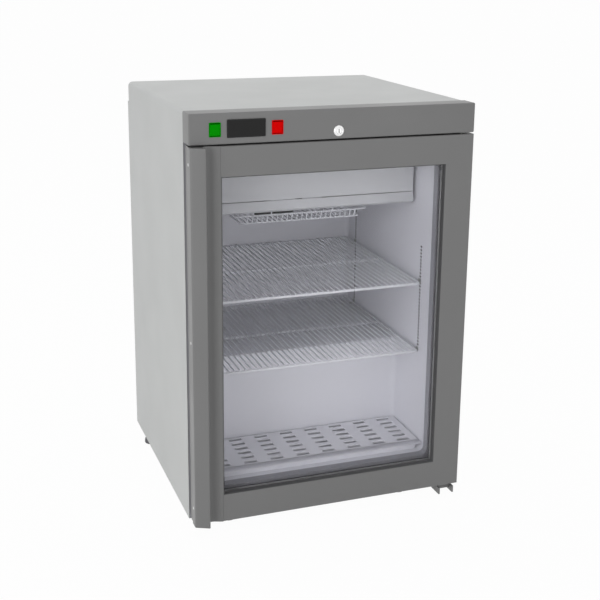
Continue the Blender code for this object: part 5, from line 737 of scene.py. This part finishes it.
handle_low, handle_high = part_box("handle_profile")
flank_x = handle_low[0] + PLUG_PROUD
seat = np.array((handle_low[0], face_y))
corner_centre = seat + (HANDLE_CORNER_RADIUS + PLUG_PROUD, HANDLE_CORNER_RADIUS - HANDLE_CORNER_REACH)
ridge_centre = seat + (HANDLE_RIDGE_X, HANDLE_RIDGE_RADIUS - HANDLE_REACH)
throat = seat + (HANDLE_THROAT_X, (HANDLE_VALLEY_DEPTH - HANDLE_REACH) / 2)
valley = seat + (HANDLE_VALLEY_X, HANDLE_VALLEY_DEPTH)
run_out = seat + (HANDLE_WIDTH, 0)
ridge = arc(ridge_centre, HANDLE_RIDGE_RADIUS, 255, 405, 14)
ridge_pull = np.array((ridge[-1][0] - HANDLE_RIDGE_RADIUS, ridge_centre[1] + HANDLE_RIDGE_RADIUS))
throat_pull = np.array((throat[0], valley[1]))
valley_pull = ((HANDLE_VALLEY_X - HANDLE_THROAT_X) / 2, 0)
run_out_pull = ((HANDLE_WIDTH - HANDLE_VALLEY_X) / 3, 0)
section = np.concatenate([
    [(flank_x, face_y + HANDLE_SIDE_DEPTH)],
    arc(corner_centre, HANDLE_CORNER_RADIUS, 180, 255, 10), ridge,
    curve(ridge[-1], ridge_pull, throat - (0, HANDLE_RIDGE_RADIUS), throat, 8),
    curve(throat, throat_pull, valley - valley_pull, valley, 12),
    curve(valley, valley + run_out_pull, run_out - run_out_pull, run_out, 12),
    [seat + (HANDLE_WIDTH, HANDLE_BASE_DEPTH), seat + (HANDLE_SIDE_WALL, HANDLE_BASE_DEPTH),
     seat + (HANDLE_SIDE_WALL, HANDLE_SIDE_DEPTH)]])
handle_ends = (handle_low[2], handle_high[2])
handle_skin = loft([square_to("z", section, z) for z in handle_ends], tube=True)
# Powder coat on an extrusion: slightly glossier than on the folded steel.
handle_paint = powder_coat("powder-coated aluminium, mid grey", "#7C7C7C", "#818181", 0.36, DOOR_PEEL)
make("pull_handle", joined(handle_skin, *[plate("z", z, section) for z in handle_ends]), handle_paint, "door",
     ["handle_profile"], 30.0)

# Polyethylene: white and waxy, with a soft sheen.
white_plastic, *_ = tinted("moulded white polyethylene", 0.003, "#E6E6E4", "#F2F2F0", 0.4, 0.5)
plug_profile = [(PLUG_RADIUS * math.sin(a), flank_x - (PLUG_PROUD - PLUG_MARGIN) * math.cos(a))
                for a in np.radians(np.linspace(0, 90, 6))]
plug_profile.append((PLUG_RADIUS, flank_x + PLUG_SEAT))
plugs = [revolved(plug_profile, (face_y + PLUG_DEPTH, top_z - drop), "x", 24) for drop in PLUG_DROPS]
make("handle_screw_plugs", joined(*plugs), white_plastic, "door")
dress(white_plastic, "lower_bush", "upper_bush", "drain_tube")


# Glazing
# Two panes of float glass are bonded to a spacer of silicone foam. A painted trim holds the pack in
# from behind.
PANE_ARRIS = 0.0006
PANE_CORNER = 0.002
SPACER_PORE = 1 / 1500

# Float glass: clear, with almost no mirror image. Lamps shine straight through it, and its index is
# low so that what lies behind stays sharp.
glass, tree, shader, place = blank("clear float glass")
shader.inputs["Base Color"].default_value = linear("#FBFBFC")
shader.inputs["Roughness"].default_value = 0.0
shader.inputs["IOR"].default_value = 1.2
shader.inputs["Transmission Weight"].default_value = 1.0
lamps = add(tree, "LightPath").outputs["Is Shadow Ray"]
clear = add(tree, "BsdfTransparent", {"Color": linear("#FBFBFC")})
pane_mix = add(tree, "MixShader", {}, {0: lamps, 1: shader.outputs[0], 2: clear.outputs[0]})
tree.links.new(pane_mix.outputs[0], tree.nodes["Material Output"].inputs["Surface"])
for name in ("glass_outer", "glass_inner"):
    low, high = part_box(name)
    pane_edge = ((PANE_ARRIS, low[1]), (0, low[1] + PANE_ARRIS), (0, high[1] - PANE_ARRIS),
                 (PANE_ARRIS, high[1]))
    rows = front_rows(front_view(low, high), pane_edge, PANE_CORNER, 3)
    make(name + "_pane", joined(loft(rows, tube=True), lid(rows[0]), lid(rows[3])), glass, "door",
         [name], 30.0)

# Silicone foam: a dull grey with open pores, drawn 0.67 mm wide.
spacer, *surface = tinted("grey silicone foam spacer", 0.01, "#848484", "#8C8C8C", 0.7)
relief(*surface, 0.0001, SPACER_PORE, "Voronoi")
dress(spacer, "glass_spacer")
dress(powder_coat("painted trim, dark grey", "#5E5E60", "#646466", 0.45, DOOR_PEEL), "inner_frame")


# Glazing seal
# A wedge of dark EPDM rubber is pressed in round the front of the outer pane, where it lines the
# rebate of the door frame and its soft lip lies on the glass.
GLASS_REBATE = 0.0122
SEAL_GAP = 0.0002
SEAL_SETBACK = 0.0008
SEAL_THIN = 0.0007
SEAL_THICK = 0.0015
SEAL_LIP = 0.0030
SEAL_CORNER = 0.001

low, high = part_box("glass_outer")
seal_front = face_y + SEAL_SETBACK
seal_back = low[1] - SEAL_GAP
seal_side = ((SEAL_GAP, seal_back), (SEAL_GAP, seal_front), (SEAL_THIN, seal_front),
             (SEAL_THIN + SEAL_GAP, seal_front + SEAL_GAP), (SEAL_THICK, seal_back - SEAL_LIP + SEAL_THICK),
             (SEAL_LIP, seal_back - SEAL_THIN), (SEAL_LIP, seal_back))
# Cured rubber: dark and dull, a little paler where it is rubbed.
epdm, *_ = tinted("dark EPDM rubber", 0.02, "#4C4C4D", "#545455", 0.6, 0.75)
seal_rows = front_rows(front_view(low, high, -GLASS_REBATE), seal_side, SEAL_CORNER, 3)
make("glazing_seal", ring_shape(seal_rows), epdm, "door", (), 50.0)


# Gasket
# A co-extruded PVC bellows round the back of the door, with a magnet strip sealed in its head. It
# closes on the steel ring of the mouth.
BELLOWS = ((0.0, 0.0), (0.0, 0.0011), (0.0045, 0.0016), (0.0075, 0.0026), (0.0052, 0.0036), (0.0035, 0.0042),
           (0.0022, 0.0052), (0.0020, 0.0085), (0.0035, 0.0094), (0.0185, 0.0094), (0.0200, 0.0085),
           (0.0198, 0.0052), (0.0185, 0.0042), (0.0168, 0.0036), (0.0145, 0.0026), (0.0175, 0.0016),
           (0.0220, 0.0011), (0.0220, 0.0))

low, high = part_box("door_gasket")
bellows = front_rows(front_view(low, high), np.add(BELLOWS, (0, low[1])), 0, 0)
# Plasticised PVC: a soft dark grey with a dull sheen.
rubber, *_ = tinted("soft grey PVC", 0.03, "#47484A", "#505153", 0.6, 0.75)
make("bellows_gasket", ring_shape(bellows), rubber, "door", ["door_gasket"], 50.0)
dress(black_nylon, "cord_gland")


# Evaporator cover
# A drawn plastic hood closes the evaporator in below the ceiling. Its front edge is folded out to a
# drip nose, with a fine joint along the fold, and a round opening underneath takes the fan.
COVER_FOLD = 0.026
COVER_SHEET = 0.002
COVER_NOSE = 0.004
COVER_NOSE_RISE = 0.0045
COVER_NOSE_LAND = 0.010
COVER_NOSE_RADIUS = 0.0012
COVER_JOINT_RADIUS = 0.007
COVER_EDGE = 0.003
COVER_GRAIN = 1 / 1500
FAN_OPENING_RADIUS = 0.078

low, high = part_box("evaporator_cover")
cover_bottom = low[2]
fan_low, fan_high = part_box("evaporator_fan")
fan_y = (fan_low[1] + fan_high[1]) / 2
cover_y = low[1] + COVER_NOSE
nose_z = cover_bottom + COVER_NOSE_RISE
cover_side = [(cover_y, high[2]), (cover_y, cover_bottom + COVER_FOLD), (low[1], nose_z + COVER_SHEET),
              (low[1] + COVER_SHEET, nose_z), (low[1] + COVER_NOSE_LAND, cover_bottom),
              (high[1], cover_bottom), (high[1], high[2])]
cover_radii = [0, COVER_JOINT_RADIUS, COVER_NOSE_RADIUS, COVER_NOSE_RADIUS, COVER_NOSE_RISE, COVER_EDGE, 0]
cover_rows = drawn_rows(cover_side, cover_radii, high[0], COVER_EDGE, 5)
for row in cover_rows:
    row[:CORNER_POINTS, 2] = high[2]
    row[-CORNER_POINTS:, 2] = high[2]
cover_points, cover_faces = loft(cover_rows)
width = len(cover_rows[0])
middle_row = len(cover_rows) // 2 - 1
bottom_start = 5 * CORNER_POINTS - 1
del cover_faces[middle_row * (width - 1) + bottom_start]
joint = range(CORNER_POINTS, 2 * CORNER_POINTS - 1)
cover_faces = [face for face in cover_faces if face[0] % width not in joint]
near = cover_rows[middle_row][bottom_start]
far = cover_rows[middle_row + 1][bottom_start + 1]
cover_floor = plate("z", cover_bottom, box_outline(near[0], far[0], near[1], far[1]),
                    [circle((0, fan_y), FAN_OPENING_RADIUS, 72)])
# Moulded ABS: an even pale grey under a fine matt grain, 0.67 mm apart.
cover_plastic, *surface = tinted("moulded grey-white ABS", 0.2, "#D1D2D4", "#D6D7D9", 0.4, 0.5)
relief(*surface, 0.00003, COVER_GRAIN, values={"Detail": 1.0})
cover = make("evaporator_hood", joined((cover_points, cover_faces), cover_floor, *end_plates(cover_rows)),
             cover_plastic, "cabinet", ["evaporator_cover"], 30.0)
thicken(cover, COVER_SHEET, -1.0)
dress(black_nylon, "evaporator_fan", "condenser_fan", "evaporation_pan")


# Fan guard
# A basket of bent wires is welded to two rectangular rings and dipped in white plastic. Four hooks
# hold it under the cover.
GUARD_WIRE = 0.0026
GUARD_RING_WIRE = 0.0034
GUARD_HOOK_WIRE = 0.00289
GUARD_WIRES = 23
GUARD_WIRE_PITCH = 0.0112
GUARD_CORNER = 0.006
GUARD_BEND = 0.005
GUARD_SLOPE = 0.010
GUARD_TAPER = 0.013
GUARD_DEPTH = 0.021
GUARD_HOOK_X = 0.070
WELD = 0.0007
DIPPING_WAVE = 1 / 160
WIRE_DOME = ((1.0, 0.0), (0.8, 0.6), (0.45, 0.9), (0.0, 1.0))


def wire(path, normal, radius, sides, closed=False):
    """Round wire along a path that lies across the direction normal, with domed ends.

    The pairs of WIRE_DOME are shares of the radius: how far from a dome's foot, and how thick there.
    """
    path = np.asarray(path, float)
    normal = np.asarray(normal, float)
    if closed:
        along = np.roll(path, -1, axis=0) - np.roll(path, 1, axis=0)
    else:
        along = np.gradient(path, axis=0)
    along /= np.linalg.norm(along, axis=1)[:, None]
    across = np.cross(normal, along)
    thickness = np.full(len(path), radius)
    if not closed:
        reach, dome = radius * np.array(WIRE_DOME).T
        start = path[0] + along[0] * (radius - reach)[:, None]
        end = path[-1] - along[-1] * (radius - reach)[::-1, None]
        path = np.concatenate([start, path[1:-1], end])
        across = np.concatenate([across[:1].repeat(4, 0), across[1:-1], across[-1:].repeat(4, 0)])
        thickness = np.concatenate([dome, thickness[1:-1], dome[::-1]])
    angle = 2 * np.pi * (np.arange(sides) + 0.5) / sides
    spokes = across[:, None] * np.cos(angle)[None, :, None] + normal * np.sin(angle)[None, :, None]
    return loft(path[:, None] + spokes * thickness[:, None, None], True, closed)


# Plastic-dipped wire: glossy white, thick and thin by a hair every 6 mm, as dipping leaves it.
wire_coating, *surface = tinted("white plastic-dipped wire", 0.01, "#EDEEF3", "#F4F5F8", 0.25, 0.4)
relief(*surface, 0.00007, DIPPING_WAVE)
low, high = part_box("fan_guard")
ring_radius = GUARD_RING_WIRE / 2
guard_y = (low[1] + high[1]) / 2
half_width = high[0] - ring_radius
half_depth = (high[1] - low[1]) / 2 - GUARD_WIRE - ring_radius + WELD
bottom_z = low[2] + ring_radius
upper_z = bottom_z + GUARD_DEPTH - GUARD_RING_WIRE
shapes = []
for half, reach, z in ((half_width, half_depth, upper_z),
                       (half_width - GUARD_TAPER, half_depth - GUARD_SLOPE, bottom_z)):
    loop = outline(rectangle((0, guard_y), 2 * half, 2 * reach), 0, GUARD_CORNER, 5)
    shapes.append(wire(square_to("z", loop, z), (0, 0, 1), ring_radius, 10, True))
outside = half_depth + ring_radius + GUARD_WIRE / 2 - WELD
basket_bottom = low[2] + GUARD_WIRE / 2
bend = [(guard_y - outside, upper_z + ring_radius), (guard_y - outside + GUARD_SLOPE, basket_bottom),
        (guard_y + outside - GUARD_SLOPE, basket_bottom), (guard_y + outside, upper_z + ring_radius)]
basket = outline(bend, 0, [0, GUARD_BEND, GUARD_BEND, 0], 5)[5:-5]
for k in range(GUARD_WIRES):
    x = (k - (GUARD_WIRES - 1) / 2) * GUARD_WIRE_PITCH
    shapes.append(wire(square_to("x", basket, x), (1, 0, 0), GUARD_WIRE / 2, 8))
for side in (-1, 1):
    for y in (guard_y - half_depth, guard_y + half_depth):
        hook = [(side * GUARD_HOOK_X, y, z) for z in (upper_z, (upper_z + high[2]) / 2, high[2])]
        shapes.append(wire(hook, (1, 0, 0), GUARD_HOOK_WIRE / 2, 8))
make("wire_guard", joined(*shapes), wire_coating, "cabinet", ["fan_guard"], 50.0)


# Shade bar under the cover
# A black nylon bar hangs under the cover, just inside the front of the guard. Its black is painted
# shade, standing for the dark gap under the cover above the guard's front.
SHADE_BAR_LENGTH = 0.086
SHADE_BAR_DEPTH = 0.009
SHADE_BAR_DROP = 0.019
SHADE_BAR_X = -0.061
SHADE_BAR_SETBACK = 0.011
SHADE_BAR_EDGE = 0.0015

shade_bar_y = low[1] + SHADE_BAR_SETBACK
shade_bar_side = box_outline(shade_bar_y, shade_bar_y + SHADE_BAR_DEPTH, cover_bottom - SHADE_BAR_DROP, cover_bottom)
bar_points, bar_faces = capped(drawn_rows(shade_bar_side, SHADE_BAR_EDGE, SHADE_BAR_LENGTH / 2, SHADE_BAR_EDGE / 2, 3, 3))
# Painted shade: the bar's black stands for the dark gap under the cover.
make("shade_bar_under_cover", (bar_points + (SHADE_BAR_X, 0, 0), bar_faces), black_nylon, "cabinet")


# Wire shelves
# Each shelf is a 6 mm rim with one cross wire, and 39 thin wires welded across the top. The whole is
# dipped in white plastic, which rounds every weld.
SHELF_RIM = 0.0060
SHELF_WIRE = 0.0034
SHELF_WIRE_PITCH = 0.0123
SHELF_WIRE_OVERRUN = 0.0018
SHELF_CORNER = 0.010

for shelf in ("upper_shelf", "lower_shelf"):
    low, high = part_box(shelf)
    rim = SHELF_RIM / 2
    half = high[0] - rim
    front = low[1] + rim
    back = high[1] - rim
    middle = (front + back) / 2
    wire_z = high[2] - SHELF_WIRE / 2
    rim_z = wire_z - SHELF_WIRE / 2 + WELD - rim
    loop = outline(box_outline(-half, half, front, back), 0, SHELF_CORNER, 6)
    shapes = [wire(square_to("z", loop, rim_z), (0, 0, 1), rim, 14, True),
              wire([(-half, middle, rim_z), (0, middle, rim_z), (half, middle, rim_z)], (0, 0, 1), rim, 14)]
    count = int(half * 2 / SHELF_WIRE_PITCH) + 1
    for x in (np.arange(count) - (count - 1) / 2) * SHELF_WIRE_PITCH:
        line = [(x, y, wire_z) for y in (front - SHELF_WIRE_OVERRUN, middle, back + SHELF_WIRE_OVERRUN)]
        shapes.append(wire(line, (0, 0, 1), SHELF_WIRE / 2, 10))
    make(shelf + "_wires", joined(*shapes), wire_coating, shelf, [shelf], 50.0)


# Shelf clips
# Eight clips of bent zinc-plated strip hook into the holes, and carry the shelves' side rims. They
# can be moved to other holes.
CLIP_SHEET = 0.001
CLIP_FOOT = 0.010
CLIP_BEND = 0.0016
CLIP_CUT = 0.0003
CLIP_EDGE = 0.0002
CLIP_PEG = 0.0011
CLIP_PEG_DROP = 0.003

clip_names = [(level + "_clip_" + end + "_" + name, side) for level in ("upper", "lower")
              for end in ("front", "rear") for name, side in (("left", -1), ("right", 1))]
for clip, side in clip_names:
    low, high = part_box(clip)
    wall = high[0] if side > 0 else -low[0]
    tip = low[0] if side > 0 else -high[0]
    inner = tip + CLIP_FOOT
    strip = [(tip, low[2]), (inner + CLIP_SHEET, low[2]), (inner + CLIP_SHEET, high[2]), (inner, high[2]),
             (inner, low[2] + CLIP_SHEET), (tip, low[2] + CLIP_SHEET)]
    radii = [CLIP_CUT, CLIP_BEND, CLIP_CUT, CLIP_CUT, CLIP_BEND - CLIP_SHEET, CLIP_CUT]
    centre_y = (high[1] + low[1]) / 2
    points, faces = capped(drawn_rows(strip, radii, (high[1] - low[1]) / 2, CLIP_EDGE, 2, 4))
    body = (np.column_stack([side * points[:, 1], centre_y + points[:, 0], points[:, 2]]), faces)
    standing = inner + CLIP_SHEET / 2
    peg = [(side * x, centre_y, high[2] - CLIP_PEG_DROP) for x in (standing, (standing + wall) / 2, wall)]
    make(clip + "_strip", joined(body, wire(peg, (0, 0, 1), CLIP_PEG, 12)), zinc, "cabinet",
         [clip])


# Floor tray
# A slotted sheet lies over the well of the floor. It is folded down in front to the floor and a
# little less at the back, and its lips are cut back at a slant at both ends.
TRAY_SHEET = 0.0015
TRAY_BEND = 0.0022
TRAY_LIP_TAPER = 0.013
TRAY_REAR_LIP_RISE = 0.006
TRAY_SLOT = (0.0295, 0.0095)
TRAY_SLOT_CORNER = 0.0012
TRAY_COLUMNS = 8
TRAY_ROWS = 6
TRAY_COLUMN_PITCH = 0.060
TRAY_ROW_PITCH = 0.0231

low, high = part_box("floor_tray")
slot_xs = (np.arange(TRAY_COLUMNS) - (TRAY_COLUMNS - 1) / 2) * TRAY_COLUMN_PITCH
slot_ys = (low[1] + high[1]) / 2 + (np.arange(TRAY_ROWS) - (TRAY_ROWS - 1) / 2) * TRAY_ROW_PITCH
slots = [outline(rectangle((x, y), *TRAY_SLOT), 0, TRAY_SLOT_CORNER, 3) for x in slot_xs for y in slot_ys]
deck = plate("z", high[2], box_outline(low[0], high[0], low[1] + TRAY_BEND, high[1] - TRAY_BEND), slots)
lips = []
for side, edge_y, foot in ((-1, low[1], low[2]), (1, high[1], low[2] + TRAY_REAR_LIP_RISE)):
    rows = [(edge_y - side * TRAY_BEND * (1 - math.sin(a)), high[2] - TRAY_BEND * (1 - math.cos(a)), high[0])
            for a in np.radians(np.linspace(0, 90, 6))]
    share = (high[2] - TRAY_BEND - foot) / (high[2] - TRAY_BEND - low[2])
    rows.append((edge_y, foot, high[0] - TRAY_LIP_TAPER * share))
    lips.append(loft([[(-x, y, z), (x, y, z)] for y, z, x in rows]))
# Enamel: hard, white and smooth, the shiniest face inside.
tray_paint = powder_coat("enamelled steel, white", "#EEEEF3", "#F3F3F7", 0.35, 0.002)
tray = make("slotted_tray", joined(deck, *lips), tray_paint, "floor_tray", ["floor_tray"], 30.0,
            False)
thicken(tray, TRAY_SHEET, -1.0)


# Refrigeration set
# The compressor is a welded can. Tubes of bare copper tie it to the condenser and the evaporator,
# two finned coils of bare aluminium.
ALUMINIUM_STREAK = 0.0025

# Stoved enamel: black with a soft shine.
enamel, *_ = tinted("black enamel", 0.02, "#17181A", "#1F2022", 0.3, 0.42)
dress(enamel, "compressor")

# Bare aluminium: a bright grey, its shine broken by fine streaks 2.5 mm apart.
aluminium, tree, shader, place = tinted("mill-finish aluminium", 0.05, "#9A9C9E", "#A8AAAC", 0.42,
                                        metallic=0.9)
streak = add(tree, "TexNoise", {"Scale": 1 / ALUMINIUM_STREAK, "Detail": 2.0}, {"Vector": place})
roughen(tree, shader, streak.outputs[0], 0.36, 0.48)
dress(aluminium, "evaporator_coil", "condenser")

# Drawn copper: a bright skin that is darker where it has been handled.
copper, *_ = tinted("drawn copper tube", 0.02, "#B46A47", "#D58C66", 0.22, 0.4, 0.95)
dress(copper, "suction_line", "discharge_line")


# Studio
# A white sweep and three large soft lamps, as for a catalogue picture. The lens is shifted a little,
# so that the camera needs less tilt.
WHITE = (1, 1, 1, 1)
FILL_LIGHT = 0.47
SWEEP_GLOW = 0.97
SWEEP_WIDTH = 60


def on_rays(tree, *kinds):
    """One for rays of any of the kinds named, and zero for all others."""
    path = add(tree, "LightPath")
    seen = path.outputs[kinds[0]]
    for kind in kinds[1:]:
        either = add(tree, "Math", links={0: seen, 1: path.outputs[kind]}, operation="MAXIMUM")
        seen = either.outputs[0]
    return seen


world = bpy.data.worlds.new("studio")
bpy.context.scene.world = world
world.use_nodes = True
tree = world.node_tree
tree.nodes.clear()
seen = on_rays(tree, "Is Camera Ray", "Is Glossy Ray", "Is Transmission Ray")
fill = add(tree, "Background", {"Color": WHITE, "Strength": FILL_LIGHT})
white = add(tree, "Background", {"Color": WHITE, "Strength": 1.0})
sky = add(tree, "MixShader", links={0: seen, 1: fill.outputs[0], 2: white.outputs[0]})
add(tree, "OutputWorld", links={0: sky.outputs[0]})

# Matt paper that glows by itself for the camera and in reflections, so that it has no horizon.
material = bpy.data.materials.new("white studio sweep")
material.use_nodes = True
tree = material.node_tree
shader = tree.nodes["Principled BSDF"]
shader.inputs["Base Color"].default_value = linear("#F4F4F4")
shader.inputs["Roughness"].default_value = 0.9
lit = add(tree, "Emission", {"Color": WHITE, "Strength": 1.0})
seen = on_rays(tree, "Is Camera Ray", "Is Glossy Ray")
share = add(tree, "Math", {1: SWEEP_GLOW}, {0: seen}, operation="MULTIPLY")
mix = add(tree, "MixShader", links={0: share.outputs[0], 1: shader.outputs[0], 2: lit.outputs[0]})
tree.links.new(mix.outputs[0], tree.nodes["Material Output"].inputs["Surface"])
floor_mesh = bpy.data.meshes.new("sweep")
floor_corners = square_to("z", rectangle((0, 0), SWEEP_WIDTH, SWEEP_WIDTH), 0)
floor_mesh.from_pydata(floor_corners.tolist(), [], [(0, 1, 2, 3)])
floor_mesh.materials.append(material)
sweep = bpy.data.objects.new("sweep", floor_mesh)
bpy.context.scene.collection.objects.link(sweep)


def hung(name, data, place, turn):
    """A lamp or camera in the studio. It looks down its own -Z, turned by three angles in degrees."""
    holder = bpy.data.objects.new(name, data)
    holder.location = place
    holder.rotation_euler = Euler([math.radians(angle) for angle in turn])
    bpy.context.scene.collection.objects.link(holder)
    return holder


for name, place, turn, size, power in (
        ("overhead_softbox", (-0.3, 0.9, 3.4), (0, 0, 0), 3.0, 23.0),
        ("left_softbox", (-3.0, -2.3, 1.15), (86, 0, -53), 2.4, 37.0),
        ("front_softbox", (0.9, -3.4, 0.3), (92, 0, 15), 2.2, 8.0)):
    lamp = bpy.data.lights.new(name, "AREA")
    lamp.size = size
    lamp.energy = power
    hung(name, lamp, place, turn)

camera = bpy.data.cameras.new("camera")
camera.sensor_width = 36.0
camera.lens = 66.2747
camera.shift_y = -0.10
bpy.context.scene.camera = hung("camera", camera, (-0.8001, -2.2631, 1.1569), (75.542, -0.557, -19.853))
bpy.context.scene.view_settings.view_transform = "Standard"
